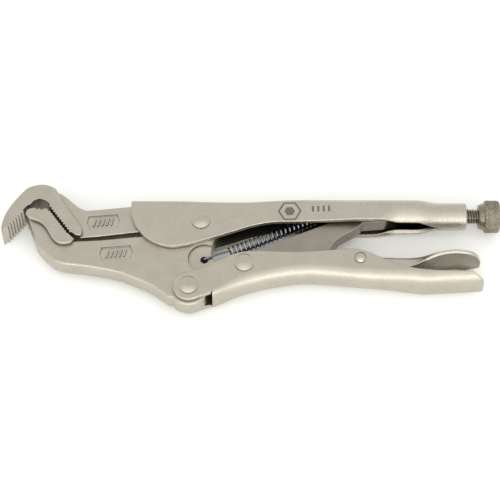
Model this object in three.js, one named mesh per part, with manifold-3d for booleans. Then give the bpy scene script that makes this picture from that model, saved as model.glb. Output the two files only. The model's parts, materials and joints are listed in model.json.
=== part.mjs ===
// Locking pliers with hooked, toothed pipe jaws: pressed channel handles, forged jaws, a toggle link,
// a release lever, an extension spring and an adjusting screw.
//
// Layout. X runs from the jaws to the knob, Y from the lower handle up to the upper one, Z across the
// tool with the middle plane at 0. The jaw pivot is at the origin until the tool is set down at the end.
// Everything is in millimetres and the jaws are closed and locked.

import * as THREE from 'three';
import { mergeVertices } from 'three/addons/utils/BufferGeometryUtils.js';
import Module from 'manifold-3d';

const wasm = await Module();
wasm.setup();

// ---- Driving dimensions ----

// Clearance between pieces that touch, and between a shaft and its hole.
const fitGap = 0.3;

// Pivots and axes in the plane of the tool.
const jawPivot = { x: 0, y: 0 };
const handlePivot = { x: -5.64, y: -37.0 };
const linkPivot = { x: 21.7, y: -24.4 };
const leverPivot = { x: 79.2, y: -21.5 };
const linkTip = { x: 90.0, y: 5.6 };
const screwAxisY = 6.6;

// Jaws.
const jawThickness = 10;
const headThickness = 14.4;
const throat = 60;
const jawLobe = 8.8;
const handleLobe = 9.5;
const toothDepth = 1.0;
const panelDepth = 0.4;
const pocketDepth = 2.0;
const pocketRadius = 8.0;
const springHoleRadius = 2.0;

// Pressed handles.
const sheet = 2.5;
const channelBend = 3;
const webBend = 6;
const barrelHalf = 9.4;
const barrelBend = 6.5;
const lipBend = 8.6;
const frontLobe = 22;
const earRadius = 7.8;
const tailHalf = 9.5;
const tailBend = 6.5;
const tailWall = 4.5;
const tailCorner = 7.5;
const upperFront = -35;
const barrelEnd = 122;
const closingLength = 14;
const lowerFront = 6;
const lowerEnd = 140.1;
const wallReach = 24;

// Toggle link and release lever.
const linkPlay = 1.4;
const linkHalfHeight = 5.5;
const linkEyeRadius = 6.4;
const linkTipRadius = 4.6;
const leverSheet = 2.0;
const leverBend = 2.5;
const leverNose = 61;
const leverSetback = 1.0;
const paddleHalf = 9.4;

// Rivets: shaft and head radii, and how far the heads stand out.
const mainShaft = 3.3;
const mainHead = 4.8;
const leverShaft = 1.9;
const leverHead = 2.9;
const headRise = 1.4;

// Adjusting screw and its threaded collar.
const screwRadius = 3.95;
const collarRadius = 6.8;
const collarLap = 3.0;
const collarLength = 14.5;
const collarChamfer = 0.5;
const tipClearance = 3.0;
const noseLength = 5.0;
const noseRadius = 3.0;
const noseChamfer = 1.0;
const rodChamfer = 0.8;
const threadShown = 6.1;
const shoulderRadius = 6.0;
const shoulderLength = 2.8;
const knobRadius = 8.25;
const knurlLength = 7.9;
const knobEdge = 1.4;

// Extension spring.
const wireRadius = 0.55;
const coilRadius = 2.4;
const coilTurns = 20;
const springHole = { x: 1.9, y: -20.3 };
const springAnchor = { x: 63.5, y: 7.8 };
const coilStartGap = 13.8;
const coilEndGap = 7.0;
const anchorHoleRadius = 1.2;
const anchorHalfWidth = 1.25;
const anchorTab = 3.4;

// Values that follow from the ones above.
const jawHalf = jawThickness / 2;
const headHalf = headThickness / 2;
const channelInner = jawHalf + fitGap;
const channelHalf = channelInner + sheet;
const leverHalf = channelInner - fitGap;
const linkThickness = jawThickness - linkPlay;
const leverEnd = lowerEnd - leverSetback;
const collarStart = barrelEnd - collarLap;
const collarEnd = collarStart + collarLength;
const knobStart = collarEnd + threadShown;
const knurlStart = knobStart + shoulderLength;
const knobEnd = knurlStart + knurlLength;
const screwTip = linkTip.x + linkTipRadius + tipClearance;

// ---- Working in solids ----

function solid(geometry) {
  const bare = geometry.clone();
  bare.deleteAttribute('normal');
  bare.deleteAttribute('uv');
  const merged = mergeVertices(bare, 1e-4);
  const corners = merged.index.array;
  const kept = [];
  for (let i = 0; i < corners.length; i += 3) {
    const [a, b, c] = [corners[i], corners[i + 1], corners[i + 2]];
    if (a !== b && b !== c && c !== a) {
      kept.push(a, b, c);
    }
  }
  return new wasm.Manifold(new wasm.Mesh({
    numProp: 3,
    vertProperties: new Float32Array(merged.attributes.position.array),
    triVerts: new Uint32Array(kept),
  }));
}

function shell(manifold) {
  const { vertProperties, triVerts } = manifold.getMesh();
  const geometry = new THREE.BufferGeometry();
  geometry.setAttribute('position', new THREE.BufferAttribute(new Float32Array(vertProperties), 3));
  geometry.setIndex(new THREE.BufferAttribute(new Uint32Array(triVerts), 1));
  geometry.computeVertexNormals();
  return geometry;
}

// A flat plate cut to an outline in the plane of the tool, centred on the middle plane.
function plate(shape, half, curveSegments = 3) {
  const geometry = new THREE.ExtrudeGeometry(shape, { depth: 2 * half, bevelEnabled: false, curveSegments });
  return solid(geometry.translate(0, 0, -half));
}

// The same plate as a pair, one on each side of the middle plane, between two distances from it.
function platePair(shape, near, far, curveSegments = 3) {
  const options = { depth: far - near, bevelEnabled: false, curveSegments };
  const upper = new THREE.ExtrudeGeometry(shape, options).translate(0, 0, near);
  const lower = new THREE.ExtrudeGeometry(shape, options).translate(0, 0, -far);
  return solid(upper).add(solid(lower));
}

// A round bar across the tool, for holes and pockets.
function crossBar(at, radius, half, sides = 20) {
  const bar = new THREE.CylinderGeometry(radius, radius, 2 * half, sides);
  return solid(bar.rotateX(Math.PI / 2).translate(at.x, at.y, 0));
}

// A profile of [radius, distance] pairs turned about an axis along X at the height of the screw.
function turnedAlongX(profile, sides = 24) {
  const points = profile.map(([radius, along]) => new THREE.Vector2(radius, along));
  const turned = new THREE.LatheGeometry(points, sides);
  return turned.rotateZ(-Math.PI / 2).translate(0, screwAxisY, 0);
}

// A value that changes smoothly along X: stations are [x, value] pairs.
function along(stations) {
  return (x) => {
    let value = stations[0][1];
    for (let i = 1; i < stations.length; i += 1) {
      const [x0, v0] = stations[i - 1];
      const [x1, v1] = stations[i];
      if (x > x0) {
        value = v0 + (v1 - v0) * THREE.MathUtils.smoothstep(x, x0, x1);
      }
    }
    return value;
  };
}

function vectors(points) {
  return points.map(([x, y]) => new THREE.Vector2(x, y));
}

// A smooth line through [x, y] points that runs along X, as a function of x.
function lineThrough(points) {
  const line = new THREE.SplineCurve(vectors(points)).getPoints(12 * points.length);
  return (x) => {
    const next = THREE.MathUtils.clamp(line.findIndex((point) => point.x >= x), 1, line.length - 1);
    const [a, b] = [line[next - 1], line[next]];
    return THREE.MathUtils.mapLinear(x, a.x, b.x, a.y, b.y);
  };
}

// Points of a saw-toothed edge between two ends, with the teeth standing on the left of its run.
function toothRun([x0, y0], [x1, y1], count) {
  const points = [];
  const run = Math.hypot(x1 - x0, y1 - y0);
  const [nx, ny] = [-(y1 - y0) / run, (x1 - x0) / run];
  for (let i = 0; i <= 2 * count; i += 1) {
    const share = i / (2 * count);
    const rise = i % 2 ? toothDepth : 0;
    points.push([x0 + (x1 - x0) * share + nx * rise, y0 + (y1 - y0) * share + ny * rise]);
  }
  return points;
}

// ---- Sheet metal ----

// How many rows of facets each stretch of a half section gets: middle, bend, wall and lip.
const stretchRows = [1, 4, 2, 3];
const halfRows = stretchRows.reduce((sum, rows) => sum + rows, 0);

// A point of the outer face of a half section and the face's outward direction there. The face starts at
// the crown, runs flat, bends down through an angle, runs straight as the wall and curls in as the lip.
function sectionPoint(section, row) {
  const share = [];
  let left = row;
  for (const rows of stretchRows) {
    share.push(THREE.MathUtils.clamp(left / rows, 0, 1));
    left -= rows;
  }
  const turn = section.angle * share[1];
  const curl = section.angle + section.lipAngle * share[3];
  const bendZ = section.bend * Math.sin(turn);
  const bendY = section.bend * (Math.cos(turn) - 1);
  const wallZ = section.wall * share[2] * Math.cos(section.angle);
  const wallY = -section.wall * share[2] * Math.sin(section.angle);
  const lipZ = section.lip * (Math.sin(curl) - Math.sin(section.angle));
  const lipY = section.lip * (Math.cos(curl) - Math.cos(section.angle));
  const facing = turn + section.lipAngle * share[3];
  return {
    z: section.flat * share[0] + bendZ + wallZ + lipZ,
    y: section.crown + bendY + wallY + lipY,
    nz: Math.sin(facing),
    ny: Math.cos(facing),
  };
}

// A blank of sheet from one X to another, bent across its length to the section given at each X.
function bentSheet(from, to, steps, thickness, sectionAt) {
  const blank = new THREE.BoxGeometry(to - from, 1, 2 * halfRows, steps, 1, 2 * halfRows);
  const position = blank.attributes.position;
  for (let i = 0; i < position.count; i += 1) {
    const x = position.getX(i) + (from + to) / 2;
    const depth = (0.5 - position.getY(i)) * thickness;
    const row = position.getZ(i);
    const face = sectionPoint(sectionAt(x), Math.abs(row));
    const side = Math.sign(row);
    position.setXYZ(i, x, face.y - face.ny * depth, side * (face.z - face.nz * depth));
  }
  return solid(blank);
}

// ---- Upper handle ----

const closingStart = barrelEnd - closingLength;
const collarTop = screwAxisY + collarRadius;
const barrelFloor = -0.3;
const upperCrown = lineThrough([[upperFront - 2, 12.5], [-12, 12.4], [20, 11.7], [44, 13.0], [66, 13.5],
  [closingStart - 14, 13.6], [closingStart, 13.5], [barrelEnd, collarTop], [barrelEnd + 10, collarTop]]);
const upperBottom = along([[24, -17], [38, barrelFloor]]);
const barrelShare = along([[40, 0], [78, 1]]);
const lipShare = along([[84, 0], [100, 1]]);
const closingShare = along([[closingStart, 0], [barrelEnd - 1, 1]]);
const openLipAngle = 58;
const closedLipAngle = 87;
const closedWall = 0.05;

function upperSection(x) {
  const lerp = THREE.MathUtils.lerp;
  const closing = closingShare(x);
  const half = lerp(lerp(channelHalf, barrelHalf, barrelShare(x)), collarRadius, closing);
  const bend = lerp(lerp(channelBend, barrelBend, barrelShare(x)), collarRadius, closing);
  const lip = lerp(lipBend, collarRadius, closing);
  const lipAngle = THREE.MathUtils.degToRad(lerp(openLipAngle * lipShare(x), closedLipAngle, closing));
  const crown = upperCrown(x);
  const openWall = Math.max(crown - bend - upperBottom(x) - lip * Math.sin(lipAngle), closedWall);
  const wall = lerp(openWall, closedWall, closing);
  return { crown, flat: half - bend, bend, angle: Math.PI / 2, wall, lip, lipAngle };
}

// Side outline of the upper handle: a round front lobe, then the lower edge rising to the barrel.
function upperOutline() {
  const above = upperCrown(upperFront) + frontLobe;
  const lobe = { x: upperFront + frontLobe, y: 7 };
  const lowerEdge = [[-5, -13.4], [5, -10.2], [15, -6.8], [25, -3.3], [36, -1.0], [67, -0.6],
    [80, barrelFloor]];
  const shape = new THREE.Shape();
  shape.moveTo(barrelEnd + 1, above);
  shape.lineTo(upperFront, above);
  shape.lineTo(upperFront, lobe.y);
  shape.absarc(lobe.x, lobe.y, frontLobe, Math.PI, 1.5 * Math.PI, false);
  shape.splineThru(vectors(lowerEdge));
  shape.lineTo(barrelEnd + 1, barrelFloor);
  return shape;
}

function springTab() {
  const top = upperCrown(springAnchor.x) - sheet / 2;
  const bottom = springAnchor.y - anchorTab;
  const tab = new THREE.BoxGeometry(2 * anchorTab, top - bottom, 2 * anchorHalfWidth);
  tab.translate(springAnchor.x, (top + bottom) / 2, 0);
  return solid(tab).subtract(crossBar(springAnchor, anchorHoleRadius, anchorHalfWidth + 1, 12));
}

function threadedCollar() {
  const bore = screwRadius + fitGap;
  const profile = [[bore, collarStart], [collarRadius, collarStart],
    [collarRadius, collarEnd - collarChamfer], [collarRadius - collarChamfer, collarEnd],
    [bore, collarEnd], [bore, collarStart]];
  return solid(turnedAlongX(profile));
}

function upperHandle() {
  const channel = bentSheet(upperFront - 1, barrelEnd, 34, sheet, upperSection);
  return channel
    .intersect(plate(upperOutline(), barrelHalf + 2, 2))
    .add(threadedCollar())
    .add(springTab())
    .subtract(crossBar(jawPivot, mainShaft + fitGap, channelHalf + 1));
}

// ---- Upper jaw ----

// Points on the toothed heads are counted from the back of the heads, one throat in front of the pivot.
const atHead = (points) => points.map(([x, y]) => [x - throat, y]);

function hookHead() {
  const back = atHead([[-13.3, 18.9], [-8.6, 10.2], [-3.8, 2.6], [-0.4, -2.1], [0.8, -5.2], [0.4, -8.2]]);
  const jawFace = toothRun(...atHead([[-4.4, -6.4], [-16.0, 9.6]]), 11);
  const arch = atHead([[-18.0, 11.8], [-21.15, 13.1], [-24.0, 12.1], [-25.5, 10.2], [-27.3, 9.2]]);
  const hookFace = toothRun(...atHead([[-29.2, 6.6], [-37.6, -4.2]]), 7);
  const outside = atHead([[-39.4, -5.6], [-39.7, -3.6], [-38.6, 2.5], [-35.3, 9.6], [-29.3, 18.0],
    [-25.9, 20.4], [-20.6, 21.6], [-16.3, 20.7], [-13.3, 18.9]]);
  const shape = new THREE.Shape(vectors(back));
  for (const [x, y] of jawFace) {
    shape.lineTo(x, y);
  }
  shape.splineThru(vectors(arch));
  for (const [x, y] of hookFace) {
    shape.lineTo(x, y);
  }
  shape.lineTo(...outside[0]);
  shape.splineThru(vectors(outside.slice(1)));
  return shape;
}

// The shank runs from inside the head into the handle and ends in a hollow round the lower jaw's lobe.
function upperShank() {
  const relief = jawLobe + 2 * fitGap;
  const tangTop = upperCrown(0) - sheet - fitGap;
  const topEdge = atHead([[-13.4, 18.6], [-9.8, 16.6], [-6.1, 13.5], [-2.4, 9.9], [0.5, 8.2], [3.0, 7.5],
    [8.2, 7.9], [14, 8.6]]);
  const tangBack = -6;
  const start = Math.atan2(Math.sqrt(relief ** 2 - tangBack ** 2), tangBack);
  const end = Math.PI + 0.26;
  const shape = new THREE.Shape(vectors(atHead([[-6, -3.5], [-12, 7.5], [-16, 16]])));
  shape.lineTo(...topEdge[0]);
  shape.splineThru(vectors(topEdge.slice(1)));
  shape.lineTo(upperFront + 1, tangTop);
  shape.lineTo(tangBack, tangTop);
  shape.absarc(0, 0, relief, start, end, false);
  shape.lineTo(-30.9, -5.1);
  shape.lineTo(...atHead([[9.8, -7.6]])[0]);
  shape.lineTo(...atHead([[0.2, -8.6]])[0]);
  return shape;
}

// A shallow sunk panel with clipped corners, on both faces of a jaw.
function sunkPanel(middle, length, height, turn) {
  const half = [length / 2, height / 2];
  const corner = height / 4;
  const shape = new THREE.Shape(vectors([
    [half[0] - corner, -half[1]], [half[0], 0], [half[0] - corner, half[1]],
    [corner - half[0], half[1]], [-half[0], 0], [corner - half[0], -half[1]],
  ]));
  const pair = platePair(shape, jawHalf - panelDepth, jawHalf + 1);
  return pair.rotate([0, 0, turn]).translate([middle[0], middle[1], 0]);
}

function upperJaw() {
  return plate(hookHead(), headHalf, 3)
    .add(plate(upperShank(), jawHalf, 3))
    .subtract(sunkPanel([-48.9, 0.6], 16, 7.6, 5));
}

// ---- Lower jaw ----

function lowerHead() {
  const crownTeeth = toothRun(...atHead([[-19.0, 7.2], [-23.4, 7.9]]), 2);
  const face = atHead([[-3.0, -9.9], [-4.9, -8.4], [-6.2, -7.0], [-15.4, 5.7], [-16.5, 5.8], [-17.2, 7.3]]);
  const nose = atHead([[-25.4, 7.5], [-27.0, 6.9], [-27.9, 5.0]]);
  const step = atHead([[-26.2, 2.1], [-23.9, 1.1], [-20.7, -0.4], [-17.8, -3.2], [-14.4, -9.1],
    [-12.5, -11.4], [-10.4, -12.6], [-7.5, -12.9], [-4.7, -12.2], [-3.0, -9.9]]);
  const shape = new THREE.Shape(vectors([...face, ...crownTeeth]));
  for (const [x, y] of nose) {
    shape.lineTo(x, y);
  }
  shape.splineThru(vectors(step));
  return shape;
}

function lowerShank() {
  const belly = atHead([[-26.9, 2.2], [-24.6, -4.6], [-21.4, -12.4], [-15.0, -19.8], [-8.9, -23.2],
    [4.9, -25.2], [19.2, -28.3]]);
  const toEar = [[-35, -30.6], [-24, -35.9], [-15.5, -42.3]];
  const shape = new THREE.Shape(vectors(atHead([[-3.2, -10.6], [-6.5, -9.5], [-12, -3.0], [-22, 3.5]])));
  shape.lineTo(...belly[0]);
  shape.splineThru(vectors([...belly.slice(1), ...toEar]));
  shape.absarc(handlePivot.x, handlePivot.y, handleLobe, Math.PI * 1.2, Math.PI * 2, false);
  shape.splineThru(vectors([[4.9, -29], [6.6, -21.9], [5.1, -16.1], [6.5, -10.8], [jawLobe, -3]]));
  shape.absarc(0, 0, jawLobe, 0, Math.PI * 1.18, false);
  shape.lineTo(-30.8, -7.9);
  shape.lineTo(...atHead([[9.8, -10.0]])[0]);
  return shape;
}

function lowerJaw() {
  const pocket = crossBar(springHole, pocketRadius, jawHalf + 1, 28)
    .subtract(crossBar(springHole, pocketRadius + 1, jawHalf - pocketDepth, 28));
  return plate(lowerHead(), headHalf, 3)
    .add(plate(lowerShank(), jawHalf, 3))
    .subtract(pocket)
    .subtract(crossBar(springHole, springHoleRadius, jawHalf + 1, 14))
    .subtract(crossBar(jawPivot, mainShaft + fitGap, jawHalf + 1))
    .subtract(crossBar(handlePivot, mainShaft + fitGap, jawHalf + 1))
    .subtract(sunkPanel([-41.9, -17.4], 16, 7.6, 5));
}

// ---- Lower handle ----

const lowerCrown = lineThrough([[lowerFront, -42.4], [24, -35.9], [36, -32.8], [47, -31.0], [58, -30.7],
  [78, -32.6], [lowerEnd - 44, -34.0], [lowerEnd - 30, -35.5], [lowerEnd - 22, -35.3], [lowerEnd, -34.0]]);
const lowerBend = along([[lowerFront, channelBend], [lowerFront + 14, webBend]]);
const tailShare = along([[lowerEnd - 56, 0], [lowerEnd - 32, 1]]);

// The lower channel is bent as if it opened downwards, then rolled over about X.
function lowerSection(x) {
  const lerp = THREE.MathUtils.lerp;
  const half = lerp(channelHalf, tailHalf, tailShare(x));
  const bend = lerp(lowerBend(x), tailBend, tailShare(x));
  const wall = lerp(wallReach, tailWall, tailShare(x));
  const crown = -lowerCrown(x);
  return { crown, flat: half - bend, bend, angle: Math.PI / 2, wall, lip: lipBend, lipAngle: 0 };
}

// Top edge of the lower handle from the ears to the tail.
function lowerTopEdge() {
  return vectors([[-2.7, -28.4], [6.7, -23.9], [15.2, -19.7], [25.4, -17.4], [44.4, -18.0], [58.3, -17.4],
    [leverPivot.x - 5, -16.2], [leverPivot.x + 2, -17.2], [lowerEnd - 49.5, -21.7], [lowerEnd - 38.4, -26.9],
    [lowerEnd - 27.1, -29.0], [lowerEnd + 1, -29.3]]);
}

function lowerOutline() {
  const { x, y } = handlePivot;
  const below = y - wallReach;
  const shape = new THREE.Shape();
  shape.moveTo(lowerEnd + 1, below);
  shape.lineTo(lowerFront, below);
  shape.lineTo(lowerFront - 0.4, y - 3.9);
  shape.lineTo(x + earRadius * Math.sin(0.3), y - earRadius * Math.cos(0.3));
  shape.absarc(x, y, earRadius, -Math.PI / 2 + 0.3, 0.62 * Math.PI, true);
  shape.splineThru(lowerTopEdge());
  return shape;
}

// Flat ears that carry the channel's walls forward round the handle pivot.
function lowerEars() {
  const { x, y } = handlePivot;
  const lap = lowerFront + 6;
  const reach = earRadius + 1;
  const shape = new THREE.Shape(vectors([[lap, y + wallReach], [lap, y - 1], [lowerFront, y - 4.4],
    [x, y - reach], [x - reach, y - reach], [x - reach, y + wallReach]]));
  return platePair(shape, channelInner, channelHalf, 2);
}

// Plan outline of a rounded tail: straight sides and two round corners, cut right through along Y.
function tailPlan(end, half, corner, front) {
  const depth = 4 * wallReach;
  const shape = new THREE.Shape();
  shape.moveTo(front, half);
  shape.lineTo(front, -half);
  shape.absarc(end - corner, corner - half, corner, -Math.PI / 2, 0, false);
  shape.absarc(end - corner, half - corner, corner, 0, Math.PI / 2, false);
  const geometry = new THREE.ExtrudeGeometry(shape, { depth, bevelEnabled: false, curveSegments: 6 });
  return solid(geometry.rotateX(Math.PI / 2).translate(0, depth / 3, 0));
}

function lowerHandle() {
  const channel = bentSheet(lowerFront, lowerEnd + 1, 34, sheet, lowerSection).rotate([180, 0, 0]);
  return channel
    .add(lowerEars())
    .intersect(plate(lowerOutline(), tailHalf + 1, 2))
    .intersect(tailPlan(lowerEnd, tailHalf + 0.01, tailCorner, upperFront))
    .subtract(crossBar(handlePivot, mainShaft + fitGap, channelHalf + 1))
    .subtract(crossBar(linkPivot, mainShaft + fitGap, channelHalf + 1))
    .subtract(crossBar(leverPivot, leverShaft + fitGap, channelHalf + 1, 14));
}

// ---- Toggle link ----

// A bar from the link pivot to the screw's tip, with a hump underneath that the release lever lifts.
function toggleLink() {
  const slope = Math.atan2(linkTip.y - linkPivot.y, linkTip.x - linkPivot.x);
  const [nx, ny] = [-Math.sin(slope), Math.cos(slope)];
  const up = slope + Math.PI / 2;
  const underside = [[40, -22.4], [52, -16.9], [62, -16.6], [64.3, -14.6], [67.2, -10.3], [71, -7.0],
    [78, -2.8], [81, 0.5]];
  const shape = new THREE.Shape();
  shape.moveTo(linkTip.x + nx * linkTipRadius, linkTip.y + ny * linkTipRadius);
  shape.lineTo(linkTip.x - 12 + nx * linkHalfHeight, linkTip.y - 5 + ny * linkHalfHeight);
  shape.lineTo(linkPivot.x + nx * linkEyeRadius, linkPivot.y + ny * linkEyeRadius);
  shape.absarc(linkPivot.x, linkPivot.y, linkEyeRadius, up, up + Math.PI, false);
  for (const [x, y] of underside) {
    shape.lineTo(x, y);
  }
  shape.absarc(linkTip.x, linkTip.y, linkTipRadius, up - Math.PI, up, false);
  return plate(shape, linkThickness / 2, 6)
    .subtract(crossBar(linkPivot, mainShaft + fitGap, linkThickness));
}

// ---- Release lever ----

const leverCrown = lineThrough([[leverNose - 1, -21.0], [leverNose + 8, -18.9], [leverPivot.x - 3, -18.2],
  [leverPivot.x + 12, -18.9], [leverEnd - 38, -19.1], [leverEnd - 22, -17.0], [leverEnd - 12, -15.8],
  [leverEnd - 4, -17.2], [leverEnd + 1, -20.2]]);
const paddleShare = along([[leverEnd - 42, 0], [leverEnd - 18, 1]]);
const leverWall = along([[leverNose, 2.2], [leverNose + 11, 5.6], [leverPivot.x + 9, 5.6],
  [leverEnd - 41, 4.2], [leverEnd - 18, 1.0]]);
const paddleBend = 9;
const paddleAngle = 35;

function leverSection(x) {
  const lerp = THREE.MathUtils.lerp;
  const spread = paddleShare(x);
  const bend = lerp(leverBend, paddleBend, spread);
  const angle = THREE.MathUtils.degToRad(lerp(90, paddleAngle, spread));
  const wall = leverWall(x);
  const half = lerp(leverHalf, paddleHalf, spread);
  const flat = half - bend * Math.sin(angle) - wall * Math.cos(angle);
  return { crown: leverCrown(x), flat, bend, angle, wall, lip: lipBend, lipAngle: 0 };
}

function releaseLever() {
  return bentSheet(leverNose, leverEnd + 1, 26, leverSheet, leverSection)
    .intersect(tailPlan(leverEnd, paddleHalf + 0.01, paddleHalf - 0.5, leverNose - 5))
    .subtract(crossBar(leverPivot, leverShaft + fitGap, channelHalf, 14));
}

// ---- Rivets ----

// A shaft across the tool with a low domed head on each side.
function rivet(at, shaft, head, sides) {
  const seat = channelHalf + fitGap;
  const dome = [];
  for (let i = 0; i <= 3; i += 1) {
    const turn = (i / 3) * (Math.PI / 2);
    dome.push([head * Math.cos(turn), seat + headRise * (0.25 + 0.75 * Math.sin(turn))]);
  }
  const top = [[head, seat], ...dome].map(([radius, up]) => new THREE.Vector2(Math.max(radius, 0), up));
  const bottom = top.map((point) => new THREE.Vector2(point.x, -point.y)).reverse();
  const profile = [...bottom, new THREE.Vector2(shaft, -seat), new THREE.Vector2(shaft, seat), ...top];
  const turned = new THREE.LatheGeometry(profile, sides);
  return solid(turned.rotateX(Math.PI / 2).translate(at.x, at.y, 0));
}

// ---- Adjusting screw ----

function screwNose() {
  const back = screwTip + noseLength;
  const profile = [[0, screwTip], [noseRadius - noseChamfer, screwTip], [noseRadius, screwTip + noseChamfer],
    [noseRadius, back], [0, back]];
  return solid(turnedAlongX(profile, 16));
}

function screwRod() {
  const front = screwTip + noseLength + fitGap;
  const back = knobStart - fitGap;
  const profile = [[0, front], [screwRadius - rodChamfer, front], [screwRadius, front + rodChamfer],
    [screwRadius, back], [0, back]];
  return solid(turnedAlongX(profile, 20));
}

function knurledKnob() {
  const profile = [[0, knobStart], [shoulderRadius, knobStart], [shoulderRadius + 1, knurlStart - 0.8],
    [knobRadius - knobEdge / 2, knurlStart], [knobRadius, knurlStart + knobEdge],
    [knobRadius, knobEnd - knobEdge], [knobRadius - knobEdge, knobEnd], [0, knobEnd]];
  return solid(turnedAlongX(profile, 28));
}

// ---- Spring ----

// The wire runs out of the jaw's hole, along its hook, round the coils and through the handle's tab.
function springWire() {
  const from = new THREE.Vector3(springHole.x, springHole.y, 0);
  const to = new THREE.Vector3(springAnchor.x, springAnchor.y, 0);
  const axis = to.clone().sub(from).normalize();
  const across = new THREE.Vector3(-axis.y, axis.x, 0);
  const coilStart = from.clone().addScaledVector(axis, coilStartGap);
  const coilEnd = to.clone().addScaledVector(axis, -coilEndGap);
  const lift = jawHalf - pocketDepth + wireRadius + fitGap;
  const tabLift = anchorHalfWidth + wireRadius + fitGap;
  const points = [
    new THREE.Vector3(from.x, from.y, -lift),
    new THREE.Vector3(from.x, from.y, lift - 1),
    new THREE.Vector3(from.x + 0.7, from.y + 0.4, lift),
    from.clone().lerp(coilStart, 0.5).setZ(lift),
  ];
  const perTurn = 8;
  for (let i = 0; i <= coilTurns * perTurn; i += 1) {
    const turn = (2 * Math.PI * i) / perTurn;
    const centre = coilStart.clone().lerp(coilEnd, i / (coilTurns * perTurn));
    centre.addScaledVector(across, coilRadius * Math.sin(turn));
    points.push(centre.setZ(coilRadius * Math.cos(turn)));
  }
  points.push(coilEnd.clone().lerp(to, 0.6).setZ(tabLift));
  points.push(new THREE.Vector3(to.x, to.y, tabLift - 0.6));
  points.push(new THREE.Vector3(to.x, to.y, -tabLift));
  return new THREE.CatmullRomCurve3(points);
}

function mainSpring() {
  const section = new THREE.Shape();
  section.absarc(0, 0, wireRadius, 0, 2 * Math.PI, false);
  const steps = coilTurns * 9 + 16;
  const options = { steps, extrudePath: springWire(), bevelEnabled: false, curveSegments: 3 };
  return solid(new THREE.ExtrudeGeometry(section, options));
}

// ---- Assembly ----

const satinNickel = { color: 0xb5afa3, roughness: 0.42, metalness: 1.0 };
const turnedNickel = { color: 0xaaa492, roughness: 0.36, metalness: 1.0 };
const springSteel = { color: 0x8f949c, roughness: 0.25, metalness: 1.0 };

const pieces = [
  ['upper_handle', upperHandle(), satinNickel],
  ['upper_jaw', upperJaw(), satinNickel],
  ['lower_jaw', lowerJaw(), satinNickel],
  ['lower_handle', lowerHandle(), satinNickel],
  ['toggle_link', toggleLink(), satinNickel],
  ['release_lever', releaseLever(), satinNickel],
  ['jaw_pivot_rivet', rivet(jawPivot, mainShaft, mainHead, 24), turnedNickel],
  ['handle_pivot_rivet', rivet(handlePivot, mainShaft, mainHead, 24), turnedNickel],
  ['link_rivet', rivet(linkPivot, mainShaft, mainHead, 24), turnedNickel],
  ['lever_rivet', rivet(leverPivot, leverShaft, leverHead, 18), turnedNickel],
  ['screw_nose', screwNose(), turnedNickel],
  ['screw_rod', screwRod(), turnedNickel],
  ['knurled_knob', knurledKnob(), turnedNickel],
  ['main_spring', mainSpring(), springSteel],
];

const tool = new THREE.Group();
for (const [name, manifold, finish] of pieces) {
  const mesh = new THREE.Mesh(shell(manifold), new THREE.MeshStandardMaterial(finish));
  mesh.name = name;
  tool.add(mesh);
}

// The tool lies on its side, with the bottom middle of its box at the origin.
const box = new THREE.Box3().setFromObject(tool);
tool.position.set(-(box.min.x + box.max.x) / 2, -(box.min.y + box.max.y) / 2, -box.min.z);

export default tool;
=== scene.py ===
# Locking pliers with hooked pipe jaws, lying on their side: satin-nickel pressed handles and forged jaws,
# a toggle link, a release lever, domed rivets, a zinc-plated spring and a knurled adjusting screw.
#
# Sizes are in millimetres in the tool's own layout: the jaw pivot is the origin, X runs to the knob, Y from
# the lower handle to the upper one, and Z across the tool from its middle plane. Place turns them to metres.

import json
import logging
import math
from dataclasses import dataclass, field
from enum import Enum

import bpy
import numpy as np
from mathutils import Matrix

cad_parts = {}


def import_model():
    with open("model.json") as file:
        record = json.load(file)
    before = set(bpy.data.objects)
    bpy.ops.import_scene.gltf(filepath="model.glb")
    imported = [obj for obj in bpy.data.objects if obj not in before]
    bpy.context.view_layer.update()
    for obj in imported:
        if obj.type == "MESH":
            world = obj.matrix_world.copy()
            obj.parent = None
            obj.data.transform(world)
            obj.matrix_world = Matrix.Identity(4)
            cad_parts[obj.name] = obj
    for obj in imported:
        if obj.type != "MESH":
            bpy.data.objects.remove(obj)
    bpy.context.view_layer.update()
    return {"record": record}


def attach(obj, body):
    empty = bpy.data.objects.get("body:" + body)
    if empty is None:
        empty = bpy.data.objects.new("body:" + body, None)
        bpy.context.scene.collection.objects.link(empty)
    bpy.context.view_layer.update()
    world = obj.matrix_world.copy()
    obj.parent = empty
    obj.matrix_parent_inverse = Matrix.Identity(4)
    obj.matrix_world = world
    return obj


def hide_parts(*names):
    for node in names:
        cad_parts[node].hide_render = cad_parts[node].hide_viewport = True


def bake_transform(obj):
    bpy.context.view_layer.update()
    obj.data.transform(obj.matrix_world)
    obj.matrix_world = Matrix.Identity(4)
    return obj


Array = np.ndarray
Point = tuple[float, float]
Tree, Node, Socket = bpy.types.NodeTree, bpy.types.Node, bpy.types.NodeSocket
Solid, Material = bpy.types.Object, bpy.types.Material
MM = 0.001
HANDLE_PIVOT: Point = (-5.64, -37.0)
SPRING_HOLE: Point = (1.9, -20.3)
SPRING_TAB: Point = (63.5, 7.8)
SCREW_HEIGHT = 6.6
SHARP_DEGREES = 34.0
LOG = logging.getLogger("locking_pliers")


class Body(Enum):
    """The moving groups of the tool that a piece can ride on."""

    FRAME = "frame_body"
    JAW = "moving_jaw"
    HANDLE = "squeeze_handle"
    LINK = "link"
    LEVER = "release"
    NOSE = "screw_carriage"
    SCREW = "adjusting_screw"


class Slot(Enum):
    """The record's material slots."""

    HANDLE = "handle_nickel"
    JAW = "jaw_nickel"
    RIVET = "rivet_nickel"
    SCREW = "screw_nickel"
    SPRING = "spring_zinc"


# ---------------------------------------------------------------- curves and outlines


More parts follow.
